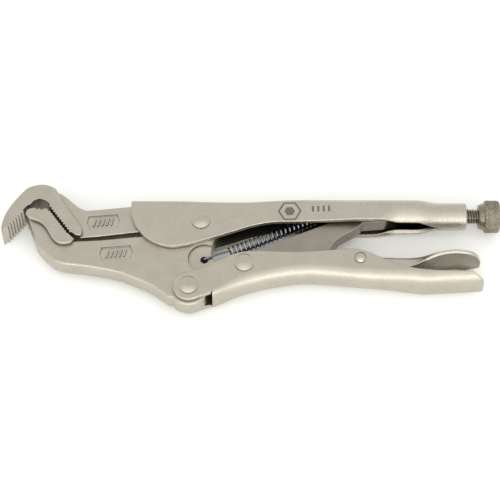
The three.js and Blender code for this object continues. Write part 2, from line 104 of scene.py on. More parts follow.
def spline(points: list[Point], per_span: int = 10) -> Array:
    """Carry a smooth curve through points.

    On the span from p1 to p2 the place is the cubic with slopes (p2 - p0) / 2 and (p3 - p1) / 2 at its ends,
    where p0 and p3 are the neighbours, and an end point stands in for a missing neighbour.

    Args:
        points: The points it passes, in millimetres.
        per_span: Steps on each span.

    Returns:
        The curve's points, one row each.
    """
    p = np.asarray(points, float)
    before, after = np.vstack([p[:1], p[:-2]]), np.vstack([p[2:], p[-1:]])
    start, end = p[:-1], p[1:]
    slope0, slope1 = (end - before) / 2, (after - start) / 2
    t = np.linspace(0, 1, per_span, endpoint=False)[None, :, None]
    cubic, square = 2 * start - 2 * end + slope0 + slope1, 3 * end - 3 * start - 2 * slope0 - slope1
    rows = cubic[:, None] * t**3 + square[:, None] * t**2 + slope0[:, None] * t + start[:, None]
    return np.vstack([rows.reshape(-1, p.shape[1]), p[-1:]])


def along(x: Array, stations: list[Point]) -> Array:
    """Give a value that eases from station to station along X, by 3t^2 - 2t^3 of the share t of each stretch.

    Args:
        x: Where it is wanted, in millimetres.
        stations: Pairs of X and value.

    Returns:
        The value at each x.
    """
    at, value = np.asarray(stations, float).T
    i = np.clip(np.searchsorted(at, x, side="right") - 1, 0, len(at) - 2)
    t = np.clip((x - at[i]) / (at[i + 1] - at[i]), 0, 1)
    return value[i] + (value[i + 1] - value[i]) * t * t * (3 - 2 * t)


def line_through(x: Array, points: list[Point]) -> Array:
    """Give the heights at X of the smooth line through points."""
    line = spline(points, 12)
    return np.interp(x, line[:, 0], line[:, 1])


def blend(a: Array | float, b: Array | float, share: Array) -> Array:
    """Mix two values by a share from 0 to 1."""
    return a + (b - a) * share


def saw_teeth(start: Point, end: Point, count: int, depth: float) -> Array:
    """Lay out a toothed edge: a zigzag whose tips stand to the left of the run.

    Args:
        start: Where the run begins.
        end: Where it ends.
        count: Number of teeth.
        depth: Height of a tooth.

    Returns:
        The zigzag's corners.
    """
    a, b = np.asarray(start, float), np.asarray(end, float)
    run = (b - a) / np.linalg.norm(b - a)
    step = np.arange(2 * count + 1)
    left = np.array([-run[1], run[0]])
    return a + (b - a) * (step / (2 * count))[:, None] + left * (depth * (step % 2))[:, None]


@dataclass
class Outline:
    """A closed outline in the plane of the tool, gathered in stretches, with its edges' rounding."""

    stretches: list[Array] = field(default_factory=list)
    edges: list[Array] = field(default_factory=list)

    def add(self, points: Array | list[Point], edge: float) -> "Outline":
        """Append points whose face edges are rounded by the radius edge."""
        rows = np.atleast_2d(np.asarray(points, float))
        self.stretches.append(rows)
        self.edges.append(np.full(len(rows), edge))
        return self

    def arc(self, centre: Point, radius: float, start: float, end: float, edge: float) -> "Outline":
        """Append a round stretch: centre + radius * (cos, sin) of angles from start to end, in degrees."""
        steps = max(4, int(abs(end - start) * radius / 35))
        turn = np.radians(np.linspace(start, end, steps))
        return self.add(np.asarray(centre) + radius * np.column_stack([np.cos(turn), np.sin(turn)]), edge)

    def loop(self) -> tuple[Array, Array]:
        """Give the outline as one loop with no doubled points, running anticlockwise, and its edge radii."""
        points, edges = np.vstack(self.stretches), np.concatenate(self.edges)
        keep = np.linalg.norm(points - np.roll(points, 1, axis=0), axis=1) > 0.02
        points, edges = points[keep], edges[keep]
        x, y = points.T
        if np.sum(x * np.roll(y, -1) - y * np.roll(x, -1)) < 0:
            points, edges = points[::-1], edges[::-1]
        return points, edges


# ---------------------------------------------------------------- shapes as arrays


@dataclass
class Shape:
    """Corners in millimetres and the faces between them."""

    corners: Array
    faces: list[list[int]]

    def __add__(self, other: "Shape") -> "Shape":
        """Put two shapes side by side in one."""
        shift = len(self.corners)
        moved = [[i + shift for i in face] for face in other.faces]
        return Shape(np.vstack([self.corners, other.corners]), self.faces + moved)


def quads(rows: int, columns: int, closed: bool) -> Array:
    """Number the corners of the four-sided faces of a grid, stored row by row.

    Args:
        rows: Corners one way.
        columns: Corners the other way.
        closed: Whether the last column joins the first.

    Returns:
        One face per line.
    """
    r, c = np.meshgrid(np.arange(rows - 1), np.arange(columns - (not closed)), indexing="ij")
    n = (c + 1) % columns
    here, above = r * columns, (r + 1) * columns
    return np.stack([here + c, here + n, above + n, above + c], -1).reshape(-1, 4)


def tube(rings: Array) -> Shape:
    """Skin a stack of rings into a closed body, with a flat cap on the first and the last ring.

    Args:
        rings: Corners as (ring, place on the ring, xyz). Each ring runs anticlockwise as seen from
            the stack's far end.

    Returns:
        The body.
    """
    count, sides = rings.shape[:2]
    faces = quads(count, sides, closed=True).tolist()
    last = (count - 1) * sides
    faces.append(list(range(sides))[::-1])
    faces.append(list(range(last, last + sides)))
    return Shape(rings.reshape(-1, 3), faces)


def inward(points: Array) -> Array:
    """Give each corner of an anticlockwise loop the direction that keeps both its edges at unit distance.

    It is the sum of the two edges' inward normals over 1 + their dot product, so a mitre keeps its width,
    and its length is held to 1.6.
    """
    edge = np.roll(points, -1, axis=0) - points
    edge /= np.linalg.norm(edge, axis=1, keepdims=True)
    normal = np.column_stack([-edge[:, 1], edge[:, 0]])
    before = np.roll(normal, 1, axis=0)
    mitre = (normal + before) / np.maximum(1 + np.sum(normal * before, axis=1, keepdims=True), 0.3)
    length = np.linalg.norm(mitre, axis=1, keepdims=True)
    return mitre * np.minimum(1, 1.6 / np.maximum(length, 1e-6))


def slab(outline: Outline, near: float, far: float) -> Shape:
    """Make a flat plate between two heights, with its edges rounded.

    At the angle a of the rounding, a ring stands in from the outline by r (1 - cos a) and below the face by
    r (1 - sin a). One more ring a little further in keeps the face flat to its edge.

    Args:
        outline: The plate's outline and edge radii.
        near: Lower face's height.
        far: Upper face's height.

    Returns:
        The plate.
    """
    points, edges = outline.loop()
    turn = np.radians([0, 22.5, 45, 67.5, 90, 90])
    inset = np.outer(1 - np.cos(turn), edges)
    inset[-1] += 0.12
    drop = np.outer(1 - np.sin(turn), edges)
    flat = points[None] + inward(points)[None] * inset[..., None]
    top = np.concatenate([flat, (far - drop)[..., None]], axis=2)
    bottom = np.concatenate([flat, (near + drop)[..., None]], axis=2)[::-1]
    return tube(np.concatenate([bottom, top]))


class Axis(Enum):
    """The two directions that turned pieces point."""

    ACROSS = "z"
    ALONG = "x"


def turned(profile: Array | list[Point], axis: Axis, centre: Point, sides: int = 64,
           relief: Array | float = 0.0) -> Shape:
    """Turn a profile about an axis: each ring is its radius times (cos, sin) round the axis.

    Args:
        profile: Pairs of radius, which is never nothing, and distance along the axis, which never falls.
        axis: Along X or across the tool.
        centre: The axis's place, as X and Y for a piece across the tool, or Y and Z for one along it.
        sides: Corners on a ring.
        relief: What is added to the radius, as (ring, side), or one number for all.

    Returns:
        The turned body.
    """
    radius, distance = np.asarray(profile, float).T
    turn = np.linspace(0, 2 * np.pi, sides, endpoint=False)
    r = radius[:, None] + relief
    a, b = r * np.cos(turn), r * np.sin(turn)
    d = np.broadcast_to(distance[:, None], a.shape)
    if axis is Axis.ACROSS:
        return tube(np.stack([centre[0] + a, centre[1] + b, d], -1))
    return tube(np.stack([d, centre[0] + a, centre[1] + b], -1))


# ---------------------------------------------------------------- bent sheet


@dataclass
class Section:
    """Half of a bent sheet's outer face at each station along X, from the middle plane outwards.

    It runs flat, bends down through an angle, runs straight as the wall and curls in as the lip.
    """

    crown: Array
    flat: Array
    bend: Array
    angle: Array
    wall: Array
    lip: Array
    lip_angle: Array

    def length(self) -> Array:
        """Give the length of the whole run at each station."""
        return self.flat + self.bend * self.angle + self.wall + self.lip * self.lip_angle

    def at(self, run: Array) -> tuple[Array, Array, Array]:
        """Give the face at distances along the run.

        Each stretch takes what is left of the distance, up to its own length. The bend adds b sin t across
        and b (cos t - 1) up for its turn t, the wall goes straight on, and the lip adds its own radius times
        the change in sine and cosine between the wall's angle and its own.

        Args:
            run: Distances as (station, row).

        Returns:
            Across and up places, and the angle by which the face is turned from straight up.
        """
        sizes = (self.flat, self.bend, self.angle, self.wall, self.lip)
        flat, bend, angle, wall, lip = (size[:, None] for size in sizes)
        on_flat = np.minimum(run, flat)
        turn = np.clip((run - flat) / bend, 0, angle)
        on_wall = np.clip(run - flat - bend * angle, 0, wall)
        curl = np.clip((run - flat - bend * angle - wall) / lip, 0, self.lip_angle[:, None])
        facing = turn + curl
        across = on_flat + bend * np.sin(turn) + on_wall * np.cos(angle)
        across += lip * (np.sin(angle + curl) - np.sin(angle))
        up = bend * (np.cos(turn) - 1) - on_wall * np.sin(angle)
        up += lip * (np.cos(angle + curl) - np.cos(angle))
        return across, self.crown[:, None] + up, facing


def bent_sheet(x: Array, section: Section, reach: Array, thickness: float, edge: float,
               rows: int = 56) -> Shape:
    """Bend a sheet to a section that changes along X, and round its rims.

    The outer and inner faces lie either side of the sheet. Within the edge radius r of a rim both come
    towards its middle by r - sqrt(r^2 - (r - d)^2), where d is the distance to the rim.

    Args:
        x: Stations along X, close together at both ends.
        section: The outer face at each station.
        reach: How far out along the run the sheet goes at each station.
        thickness: The sheet's thickness.
        edge: Radius of the rims' edges.
        rows: Rows on half of the section.

    Returns:
        The sheet as a closed body.
    """
    rim = edge * np.array([1.3, 1.0, 0.6, 0.3, 0.1, 0.0])
    even = np.linspace(0, 1, rows)
    half = np.hstack([(reach[:, None] - rim[0]).clip(0.05) * even, (reach[:, None] - rim[1:]).clip(0.06)])
    across, up, facing = section.at(half)
    to_rim = np.minimum(reach[:, None] - half, np.minimum(x - x[0], x[-1] - x)[:, None]).clip(0, edge)
    thin = edge - np.sqrt(np.maximum(edge**2 - (edge - to_rim) ** 2, 0))

    def face(depth: Array) -> Array:
        """Give the whole section of the face that lies at a depth below the outer one, end to end."""
        z, y = across - depth * np.sin(facing), up - depth * np.cos(facing)
        mirrored_z, mirrored_y = -z[:, :0:-1], y[:, :0:-1]
        places = np.stack([np.hstack([mirrored_y, y]), np.hstack([mirrored_z, z])], -1)
        return np.concatenate([np.broadcast_to(x[:, None, None], (*places.shape[:2], 1)), places], axis=2)

    outer, inner = face(thin), face(thickness - thin)
    rings = np.concatenate([outer, inner[:, ::-1]], axis=1)
    stations, sides = rings.shape[:2]
    faces = quads(stations, sides, closed=True)
    width = outer.shape[1]
    j = np.arange(width - 1)
    front = np.column_stack([j + 1, j, sides - 1 - j, sides - 2 - j])
    back = front[:, ::-1] + (stations - 1) * sides
    return Shape(rings.reshape(-1, 3), np.vstack([faces, front, back]).tolist())


def stations(start: float, end: float, step: float, edge: float, curve: float = 0.0) -> Array:
    """Place stations along X: even ones, close ones at the rims, and cosine-spaced ones on a round end.

    Args:
        start: First station.
        end: Last station.
        step: Distance between the even ones.
        edge: Radius of the rims' edges.
        curve: Length of the stretch at the end, or at the start if negative, where the outline is round.

    Returns:
        The stations in order.
    """
    rim = edge * np.array([0.0, 0.1, 0.3, 0.6, 1.0, 1.4])
    places = [np.arange(start + 2 * edge, end - 2 * edge, step), start + rim, end - rim]
    swing = 1 - np.cos(np.linspace(0, np.pi / 2, 26))[1:]
    if curve:
        places.append((end if curve > 0 else start) - curve * swing)
    merged = np.unique(np.round(np.concatenate(places), 3))
    keep = np.concatenate([[True], np.diff(merged) > 0.02])
    return merged[keep]


# ---------------------------------------------------------------- objects


@dataclass(frozen=True)
class Place:
    """Where the jaw pivot, on the tool's middle plane, lies in the frame, in metres."""

    origin: tuple[float, float, float]

    def metres(self, corners: Array) -> Array:
        """Turn places in the tool's own layout into places in the frame."""
        return np.asarray(corners, float) * MM + np.asarray(self.origin)


def new_object(name: str, shape: Shape, place: Place, sharp: float = SHARP_DEGREES) -> Solid:
    """Make an object from a shape, smooth but for edges sharper than an angle.

    Args:
        name: The piece's name.
        shape: Its corners and faces.
        place: Where the tool lies.
        sharp: Angle in degrees past which an edge stays sharp.

    Returns:
        The object, at the origin with its place in its mesh.
    """
    mesh = bpy.data.meshes.new(name)
    mesh.from_pydata(place.metres(shape.corners).tolist(), [], shape.faces)
    mesh.validate()
    mesh.shade_smooth()
    mesh.set_sharp_from_angle(angle=math.radians(sharp))
    made = bpy.data.objects.new(name, mesh)
    bpy.context.scene.collection.objects.link(made)
    return made


def cut(body: Solid, cutters: list[Shape], place: Place, sharp: float = SHARP_DEGREES) -> Solid:
    """Take cutters out of a body one after another, and keep the result as its mesh.

    Args:
        body: The object that is cut.
        cutters: Closed shapes that stand through its faces.
        place: Where the tool lies.
        sharp: Angle in degrees past which an edge stays sharp.

    Returns:
        The same object.
    """
    for shape in cutters:
        tool = new_object("cutter", shape, place)
        step = body.modifiers.new("cut", "BOOLEAN")
        step.operation, step.solver, step.object = "DIFFERENCE", "EXACT", tool
        bpy.context.view_layer.update()
        result = bpy.data.meshes.new_from_object(body.evaluated_get(bpy.context.evaluated_depsgraph_get()))
        body.modifiers.clear()
        body.data = result
        bpy.data.objects.remove(tool)
    body.data.shade_smooth()
    body.data.set_sharp_from_angle(angle=math.radians(sharp))
    return body


def merged(name: str, parts: list[Solid]) -> Solid:
    """Join objects into one mesh: the corners stacked, and each face's numbers moved on."""
    corners = [np.empty(len(part.data.vertices) * 3, np.float32) for part in parts]
    faces: list[list[int]] = []
    shift = 0
    for part, store in zip(parts, corners, strict=True):
        part.data.vertices.foreach_get("co", store)
        faces += [[i + shift for i in polygon.vertices] for polygon in part.data.polygons]
        shift += len(part.data.vertices)
    mesh = bpy.data.meshes.new(name)
    mesh.from_pydata(np.concatenate(corners).reshape(-1, 3).tolist(), [], faces)
    mesh.validate()
    mesh.shade_smooth()
    mesh.set_sharp_from_angle(angle=math.radians(SHARP_DEGREES))
    for part in parts:
        bpy.data.objects.remove(part)
    made = bpy.data.objects.new(name, mesh)
    bpy.context.scene.collection.objects.link(made)
    return made


def settle(piece: Solid, finish: Material, nodes: list[str], body: Body | None) -> None:
    """Give a piece its finish, let it stand for its CAD nodes, and let it ride on its body.

    Args:
        piece: The object.
        finish: Its material.
        nodes: The CAD nodes that it stands for.
        body: The body it rides on, or None where it rides on none.
    """
    piece.data.materials.clear()
    piece.data.materials.append(finish)
    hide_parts(*nodes)
    if body is not None:
        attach(piece, body.value)
    LOG.info("%s: %d faces", piece.name, len(piece.data.polygons))


# ---------------------------------------------------------------- finishes


def linear(colour: str) -> tuple[float, float, float, float]:
    """Turn an sRGB hex colour such as "#b5afa3" into linear red, green, blue and full alpha."""
    parts = [int(colour[i : i + 2], 16) / 255 for i in (1, 3, 5)]
    red, green, blue = (c / 12.92 if c <= 0.04045 else ((c + 0.055) / 1.055) ** 2.4 for c in parts)
    return red, green, blue, 1.0


def add_node(tree: Tree, kind: str, settings: dict | None = None, links: dict | None = None) -> Node:
    """Add a node to a tree.

    Args:
        tree: The material's or world's nodes.
        kind: The node's type name.
        settings: Its properties by name, or its inputs' values by name or number.
        links: The sockets that feed its inputs, by input name or number.

    Returns:
        The node.
    """
    node = tree.nodes.new(kind)
    for key, value in (settings or {}).items():
        if isinstance(key, str) and hasattr(node, key):
            setattr(node, key, value)
        else:
            node.inputs[key].default_value = value
    for key, socket in (links or {}).items():
        tree.links.new(socket, node.inputs[key])
    return node


@dataclass(frozen=True)
class MetalFinish:
    """A plated metal: its two tones, its gloss, and the grain that its base was given before plating."""

    name: str
    tone: str
    deep_tone: str
    roughness: float
    roughness_spread: float
    grain_mm: float
    grain_height_mm: float
    ripple_mm: float = 2.6
    ripple_height_mm: float = 0.0
    mottle_mm: float = 9.0
    # Dark tone of the painted shade in hollows, and how far the occlusion looks for enclosing faces.
    painted_shade_tone: str = "#2a2520"
    hollow_mm: float = 14.0

    def colour(self, tree: Tree, coordinates: Socket) -> Socket:
        """Mix the two tones by a broad cloudy pattern, as plating varies in tone over a centimetre or so."""
        cloud = add_node(tree, "ShaderNodeTexNoise", {"Scale": 1 / (self.mottle_mm * MM), "Detail": 3.0},
                         {"Vector": coordinates})
        ramp = add_node(tree, "ShaderNodeValToRGB", {}, {"Fac": cloud.outputs["Fac"]})
        ramp.color_ramp.elements[0].position, ramp.color_ramp.elements[1].position = 0.35, 0.65
        ramp.color_ramp.elements[0].color = linear(self.deep_tone)
        ramp.color_ramp.elements[1].color = linear(self.tone)
        return ramp.outputs["Color"]

    def shaded(self, tree: Tree, colour: Socket) -> Socket:
        """Darken the colour in the hollows of a piece towards a dark tone, by how enclosed ambient occlusion
        finds them: painted shade.
        """
        # Painted shade: the colour is mixed towards the dark tone where ambient occlusion finds creases,
        # recesses and gaps between parts.
        hollow = add_node(tree, "ShaderNodeAmbientOcclusion",
                          {"only_local": True, "samples": 8, "Distance": self.hollow_mm * MM})
        share = add_node(tree, "ShaderNodeMapRange", {"From Min": 0.38, "From Max": 0.72},
                         {"Value": hollow.outputs["AO"]})
        mixed = add_node(tree, "ShaderNodeMix", {"data_type": "RGBA", "blend_type": "MIX"},
                         {0: share.outputs["Result"], 7: colour})
        mixed.inputs[6].default_value = linear(self.painted_shade_tone)
        return mixed.outputs[2]

    def material(self, mark: "EtchedMark | None" = None) -> Material:
        """Build the material.

        Args:
            mark: A mark etched into the face, or None.

        Returns:
            The material.
        """
        made = bpy.data.materials.new(self.name)
        made.use_nodes = True
        tree = made.node_tree
        shader = tree.nodes["Principled BSDF"]
        shader.inputs["Metallic"].default_value = 1.0
        place = add_node(tree, "ShaderNodeTexCoord").outputs["Object"]
        grain, ripple = (add_node(tree, "ShaderNodeTexNoise", {"Scale": 1 / (size * MM), "Detail": 1.0},
                                  {"Vector": place}) for size in (self.grain_mm, self.ripple_mm))
        broad = add_node(tree, "ShaderNodeBump", {"Strength": 1.0, "Distance": self.ripple_height_mm * MM},
                         {"Height": ripple.outputs["Fac"]})
        fine = add_node(tree, "ShaderNodeBump", {"Strength": 1.0, "Distance": self.grain_height_mm * MM},
                        {"Height": grain.outputs["Fac"], "Normal": broad.outputs["Normal"]})
        gloss = add_node(tree, "ShaderNodeMapRange",
                         {"From Min": 0.3, "From Max": 0.7, "To Min": self.roughness - self.roughness_spread,
                          "To Max": self.roughness + self.roughness_spread}, {"Value": grain.outputs["Fac"]})
        colour, rough = self.shaded(tree, self.colour(tree, place)), gloss.outputs["Result"]
        if mark is not None:
            colour, rough = mark.over(tree, place, colour, rough)
        tree.links.new(colour, shader.inputs["Base Color"])
        tree.links.new(rough, shader.inputs["Roughness"])
        tree.links.new(fine.outputs["Normal"], shader.inputs["Normal"])
        return made


@dataclass(frozen=True)
class EtchedMark:
    """A generic etched mark on the near face: a dot in a hexagon ring, and a row of short upright bars."""

    hexagon: tuple[float, float, float]
    bars: tuple[float, float, float]
    hexagon_radius: float = 5.2 * MM
    ring: float = 0.9 * MM
    bar_half: Point = (5.4 * MM, 1.7 * MM)
    bar_pitch: float = 2.7 * MM
    dot_share: float = 0.45
    bar_share: float = 0.4
    added_roughness: float = 0.18
    tone: str = "#7d766a"

    def arithmetic(self, tree: Tree, operation: str, *values: Socket | float) -> Socket:
        """Feed sockets or plain numbers to one Math node and give its result."""
        fixed = {i: v for i, v in enumerate(values) if isinstance(v, (int, float))}
        fed = {i: v for i, v in enumerate(values) if not isinstance(v, (int, float))}
        node = add_node(tree, "ShaderNodeMath", {"operation": operation}, fed)
        for i, v in fixed.items():
            node.inputs[i].default_value = v
        return node.outputs[0]

    def offsets(self, tree: Tree, place: Socket, centre: tuple[float, float, float]) -> list[Socket]:
        """Give how far a point lies from a centre along X, along Y, and how high it stands above it."""
        moved = add_node(tree, "ShaderNodeVectorMath", {"operation": "SUBTRACT", 1: centre}, {0: place})
        split = add_node(tree, "ShaderNodeSeparateXYZ", {}, {0: moved.outputs[0]})
        return [split.outputs[0], split.outputs[1], split.outputs[2]]

    def over(self, tree: Tree, place: Socket, colour: Socket,
             rough: Socket) -> tuple[Socket, Socket]:
        """Lay the mark over a colour and a roughness.

        The larger of |y| and 0.866 |x| + 0.5 |y| is how far out a point lies on the hexagon, and tells the
        ring and the dot. A point is on a bar inside the row's box, in the first bar_share of its pitch.

        Args:
            tree: The material's nodes.
            place: Object coordinates.
            colour: The plate's colour.
            rough: The plate's roughness.

        Returns:
            The colour and roughness with the mark.
        """
        do = self.arithmetic
        x, y, z = self.offsets(tree, place, self.hexagon)
        ax, ay = do(tree, "ABSOLUTE", x), do(tree, "ABSOLUTE", y)
        slanted = do(tree, "ADD", do(tree, "MULTIPLY", ax, 0.866), do(tree, "MULTIPLY", ay, 0.5))
        away = do(tree, "MAXIMUM", ay, slanted)
        ring = do(tree, "MULTIPLY", do(tree, "LESS_THAN", away, self.hexagon_radius),
                  do(tree, "GREATER_THAN", away, self.hexagon_radius - self.ring))
        dot = do(tree, "LESS_THAN", away, self.hexagon_radius * self.dot_share)
        bx, by, _ = self.offsets(tree, place, self.bars)
        inside = do(tree, "MULTIPLY", do(tree, "LESS_THAN", do(tree, "ABSOLUTE", bx), self.bar_half[0]),
                    do(tree, "LESS_THAN", do(tree, "ABSOLUTE", by), self.bar_half[1]))
        stripe = do(tree, "LESS_THAN", do(tree, "FRACT", do(tree, "DIVIDE", bx, self.bar_pitch)),
                    self.bar_share)
        shown = do(tree, "MAXIMUM", do(tree, "ADD", ring, dot), do(tree, "MULTIPLY", inside, stripe))
        near = do(tree, "MULTIPLY", shown, do(tree, "GREATER_THAN", z, 0.0))
        mixed = add_node(tree, "ShaderNodeMix", {"data_type": "RGBA", "blend_type": "MIX"})
        tree.links.new(near, mixed.inputs[0])
        tree.links.new(colour, mixed.inputs[6])
        mixed.inputs[7].default_value = linear(self.tone)
        matt = do(tree, "ADD", rough, do(tree, "MULTIPLY", near, self.added_roughness))
        return mixed.outputs[2], matt


# Nickel over grit-blasted pressed sheet: soft warm-grey sheen, with a sparkle where it turns to the light.
# The real grit is about 0.1 mm, drawn at 0.42 mm so that it shows, and the forging's at 0.50 mm.
PRESSED_NICKEL = MetalFinish("satin_nickel_on_blasted_sheet", "#bfb9ac", "#bab4a7", 0.30, 0.07, 0.42, 0.13,
                             ripple_mm=3.2, ripple_height_mm=0.05)
# Nickel over drop-forged steel: the same sheen, a little coarser and less even.
FORGED_NICKEL = MetalFinish("satin_nickel_on_forging", "#beb8ab", "#b8b2a5", 0.33, 0.07, 0.50, 0.11,
                            ripple_mm=4.0, ripple_height_mm=0.06, mottle_mm=7.0)
# Nickel over the link's sawn bar: duller than the plates, and its tone darker as painted shade for lying
# inside the handles' channel.
LINK_NICKEL = MetalFinish("dull_nickel_on_link_bar_with_painted_shade", "#a19a90", "#989187", 0.42, 0.07, 0.55, 0.07)
# Nickel over headed rivets: smoother than the plates, so each dome shows a clear bright crescent.
RIVET_NICKEL = MetalFinish("nickel_on_headed_rivet", "#c0baae", "#bab4a8", 0.22, 0.02, 0.5, 0.0,
                           mottle_mm=4.0)
# Nickel over turned and rolled steel: darker and yellower in the thread and the knurl.
TURNED_NICKEL = MetalFinish("nickel_on_turned_steel", "#9a9283", "#857d6e", 0.30, 0.06, 0.5, 0.015,
                            mottle_mm=3.0)
# Bright zinc on spring wire: bluish, with sharp light and dark stripes on every turn.
ZINC_WIRE = MetalFinish("bright_zinc_on_spring_wire", "#8d939c", "#7f858f", 0.18, 0.03, 0.5, 0.002,
                        mottle_mm=3.0)


# ---------------------------------------------------------------- sub-assemblies


@dataclass
class UpperHandle:
    """The upper handle: a pressed channel that closes into a barrel and a collar round the screw."""

    sheet: float = 2.5
    edge: float = 0.55
    front: float = -35.0
    lobe: float = 22.0
    lobe_height: float = 7.0
    barrel_end: float = 122.0
    closing: float = 14.0
    collar_end: float = 133.5
    collar: float = 6.8
    axis: float = SCREW_HEIGHT
    channel_half: float = 7.8
    barrel_half: float = 9.4
    channel_bend: float = 3.0
    barrel_bend: float = 6.5
    lip: float = 8.6
    floor: float = -0.3
    spring_anchor: Point = SPRING_TAB
    tab_half: float = 3.4
    tab_side: float = 1.25
    tab_top: float = 12.6
    hexagon_at: Point = (44.5, 5.2)
    bars_at: Point = (61.0, 6.2)

    def lower_edge(self, x: Array) -> Array:
        """Give the height of the walls' lower edge: a quarter circle at the front, then a smooth rise."""
        centre = self.front + self.lobe
        turn = np.radians(np.linspace(180, 270, 90))
        lobe = (centre, self.lobe_height) + self.lobe * np.column_stack([np.cos(turn), np.sin(turn)])
        foot = (centre, self.lobe_height - self.lobe)
        rise = spline([foot, (-5, -13.4), (5, -10.2), (15, -6.8), (25, -3.3), (36, -1.0), (52, -0.75),
                       (67, -0.6), (80, self.floor), (90, self.floor)], 16)
        line = np.vstack([lobe, rise[1:]])
        return np.interp(x, line[:, 0], line[:, 1])

    def section(self, x: Array) -> Section:
        """Work out the outer face: an open channel, a lipped barrel, and a closed round collar."""
        start = self.barrel_end - self.closing
        closing = along(x, [(start, 0), (self.barrel_end - 1, 1)])
        barrel = along(x, [(40, 0), (78, 1)])
        half = blend(blend(self.channel_half, self.barrel_half, barrel), self.collar, closing)
        bend = blend(blend(self.channel_bend, self.barrel_bend, barrel), self.collar, closing)
        lip = blend(self.lip, self.collar, closing)
        lip_angle = np.radians(blend(58 * along(x, [(84, 0), (100, 1)]), 88.5, closing))
        top = self.axis + self.collar
        crown = line_through(x, [(self.front - 2, 12.5), (-12, 12.4), (20, 11.7), (44, 13.0), (66, 13.5),
                                 (start - 14, 13.6), (start, 13.5), (self.barrel_end, top),
                                 (self.collar_end, top)])
        wall = np.maximum(crown - bend - self.lower_edge(x) - lip * np.sin(lip_angle), 0.05)
        wall = blend(wall, 0.05, closing)
        return Section(crown, half - bend, bend, np.full_like(x, np.pi / 2), wall, lip, lip_angle)

    def spring_tab(self) -> Shape:
        """Make the small tab under the crown that holds the spring's far hook."""
        x, y = self.spring_anchor
        left, right, bottom = x - self.tab_half, x + self.tab_half, y - self.tab_half
        corners = [(left, bottom), (right, bottom), (right, self.tab_top), (left, self.tab_top)]
        return slab(Outline().add(corners, 0.3), -self.tab_side, self.tab_side)

    def build(self, place: Place) -> None:
        """Build the handle and dress it."""
        x = stations(self.front, self.collar_end, 0.9, self.edge, -self.lobe)
        section = self.section(x)
        channel = bent_sheet(x, section, section.length(), self.sheet, self.edge)
        handle = new_object("upper_handle_pressing", channel + self.spring_tab(), place)
        mark = EtchedMark(tuple(place.metres([*self.hexagon_at, 0])), tuple(place.metres([*self.bars_at, 0])))
        settle(handle, PRESSED_NICKEL.material(mark), ["upper_handle"], Body.FRAME)


@dataclass
class Jaws:
    """What the two forged jaws share: the heads' thickness, the shanks' thickness and the sunk panels."""

    half: float = 5.0
    head_half: float = 7.2
    throat: float = 60.0
    tooth: float = 1.0
    hole: float = 3.6
    panel_depth: float = 0.75
    panel_turn: float = 5.0

    def head(self, points: list[Point]) -> list[Point]:
        """Move points that are counted from the back of the heads to their place in front of the pivot."""
        return [(x - self.throat, y) for x, y in points]

    def placed(self, points: Array, middle: Point, turn: float) -> Array:
        """Turn points by an angle in degrees about their origin, and move them to a middle."""
        sine, cosine = math.sin(math.radians(turn)), math.cos(math.radians(turn))
        return points @ np.array([[cosine, sine], [-sine, cosine]]) + np.asarray(middle)

    def panel(self, middle: Point, turn: float) -> list[Shape]:
        """Make the cutters of one sunk panel on each face, a long flat hexagon turned by an angle."""
        shape = np.array([(7.3, -3.8), (8.3, 0.0), (7.3, 3.8), (-7.3, 3.8), (-8.3, 0.0), (-7.3, -3.8)])
        outer = Outline().add(self.placed(shape, middle, turn), 0.25)
        near = slab(outer, self.half - self.panel_depth, self.half + 2)
        far = slab(outer, -self.half - 2, self.panel_depth - self.half)
        return [near, far]

    def panel_ribs(self, middle: Point, turn: float) -> Shape:
        """Make the short slanting ribs that stand in a panel, on both faces, turned with it."""
        rib = np.array([(-1.05, -1.9), (-0.25, -1.9), (1.05, 1.9), (0.25, 1.9)])
        root, top = self.half - self.panel_depth - 0.6, self.half - 0.15
        made: Shape | None = None
        for shift in (-4.4, -2.2, 0.0, 2.2, 4.4):
            outline = Outline().add(self.placed(rib + (shift, 0), middle, turn), 0.2)
            pair = slab(outline, root, top) + slab(outline, -top, -root)
            made = pair if made is None else made + pair
        return made

    def forging(self, name: str, panel_middle: Point, cutters: list[Shape], place: Place) -> Solid:
        """Join a jaw's cut shank, its thicker head and the ribs in its panels.

        Args:
            name: The jaw's name.
            panel_middle: Middle of the sunk panels.
            cutters: What is cut from the shank besides the panels.
            place: Where the tool lies.

        Returns:
            The jaw.
        """
        blank = new_object("shank", slab(self.shank_outline(), -self.half, self.half), place)
        shank = cut(blank, self.panel(panel_middle, self.panel_turn) + cutters, place)
        head = new_object("head", slab(self.head_outline(), -self.head_half, self.head_half), place)
        ribs = new_object("ribs", self.panel_ribs(panel_middle, self.panel_turn), place)
        return merged(name, [shank, head, ribs])

    def bore(self, at: Point, radius: float) -> Shape:
        """Make the cutter of a hole right through a shank, opened by a small chamfer at both faces."""
        chamfer = 0.25
        mouth = radius + chamfer
        upper = [(radius, self.half - chamfer), (mouth, self.half), (mouth + 1, self.half + 1)]
        return turned([(r, -h) for r, h in upper[::-1]] + upper, Axis.ACROSS, at, 48)


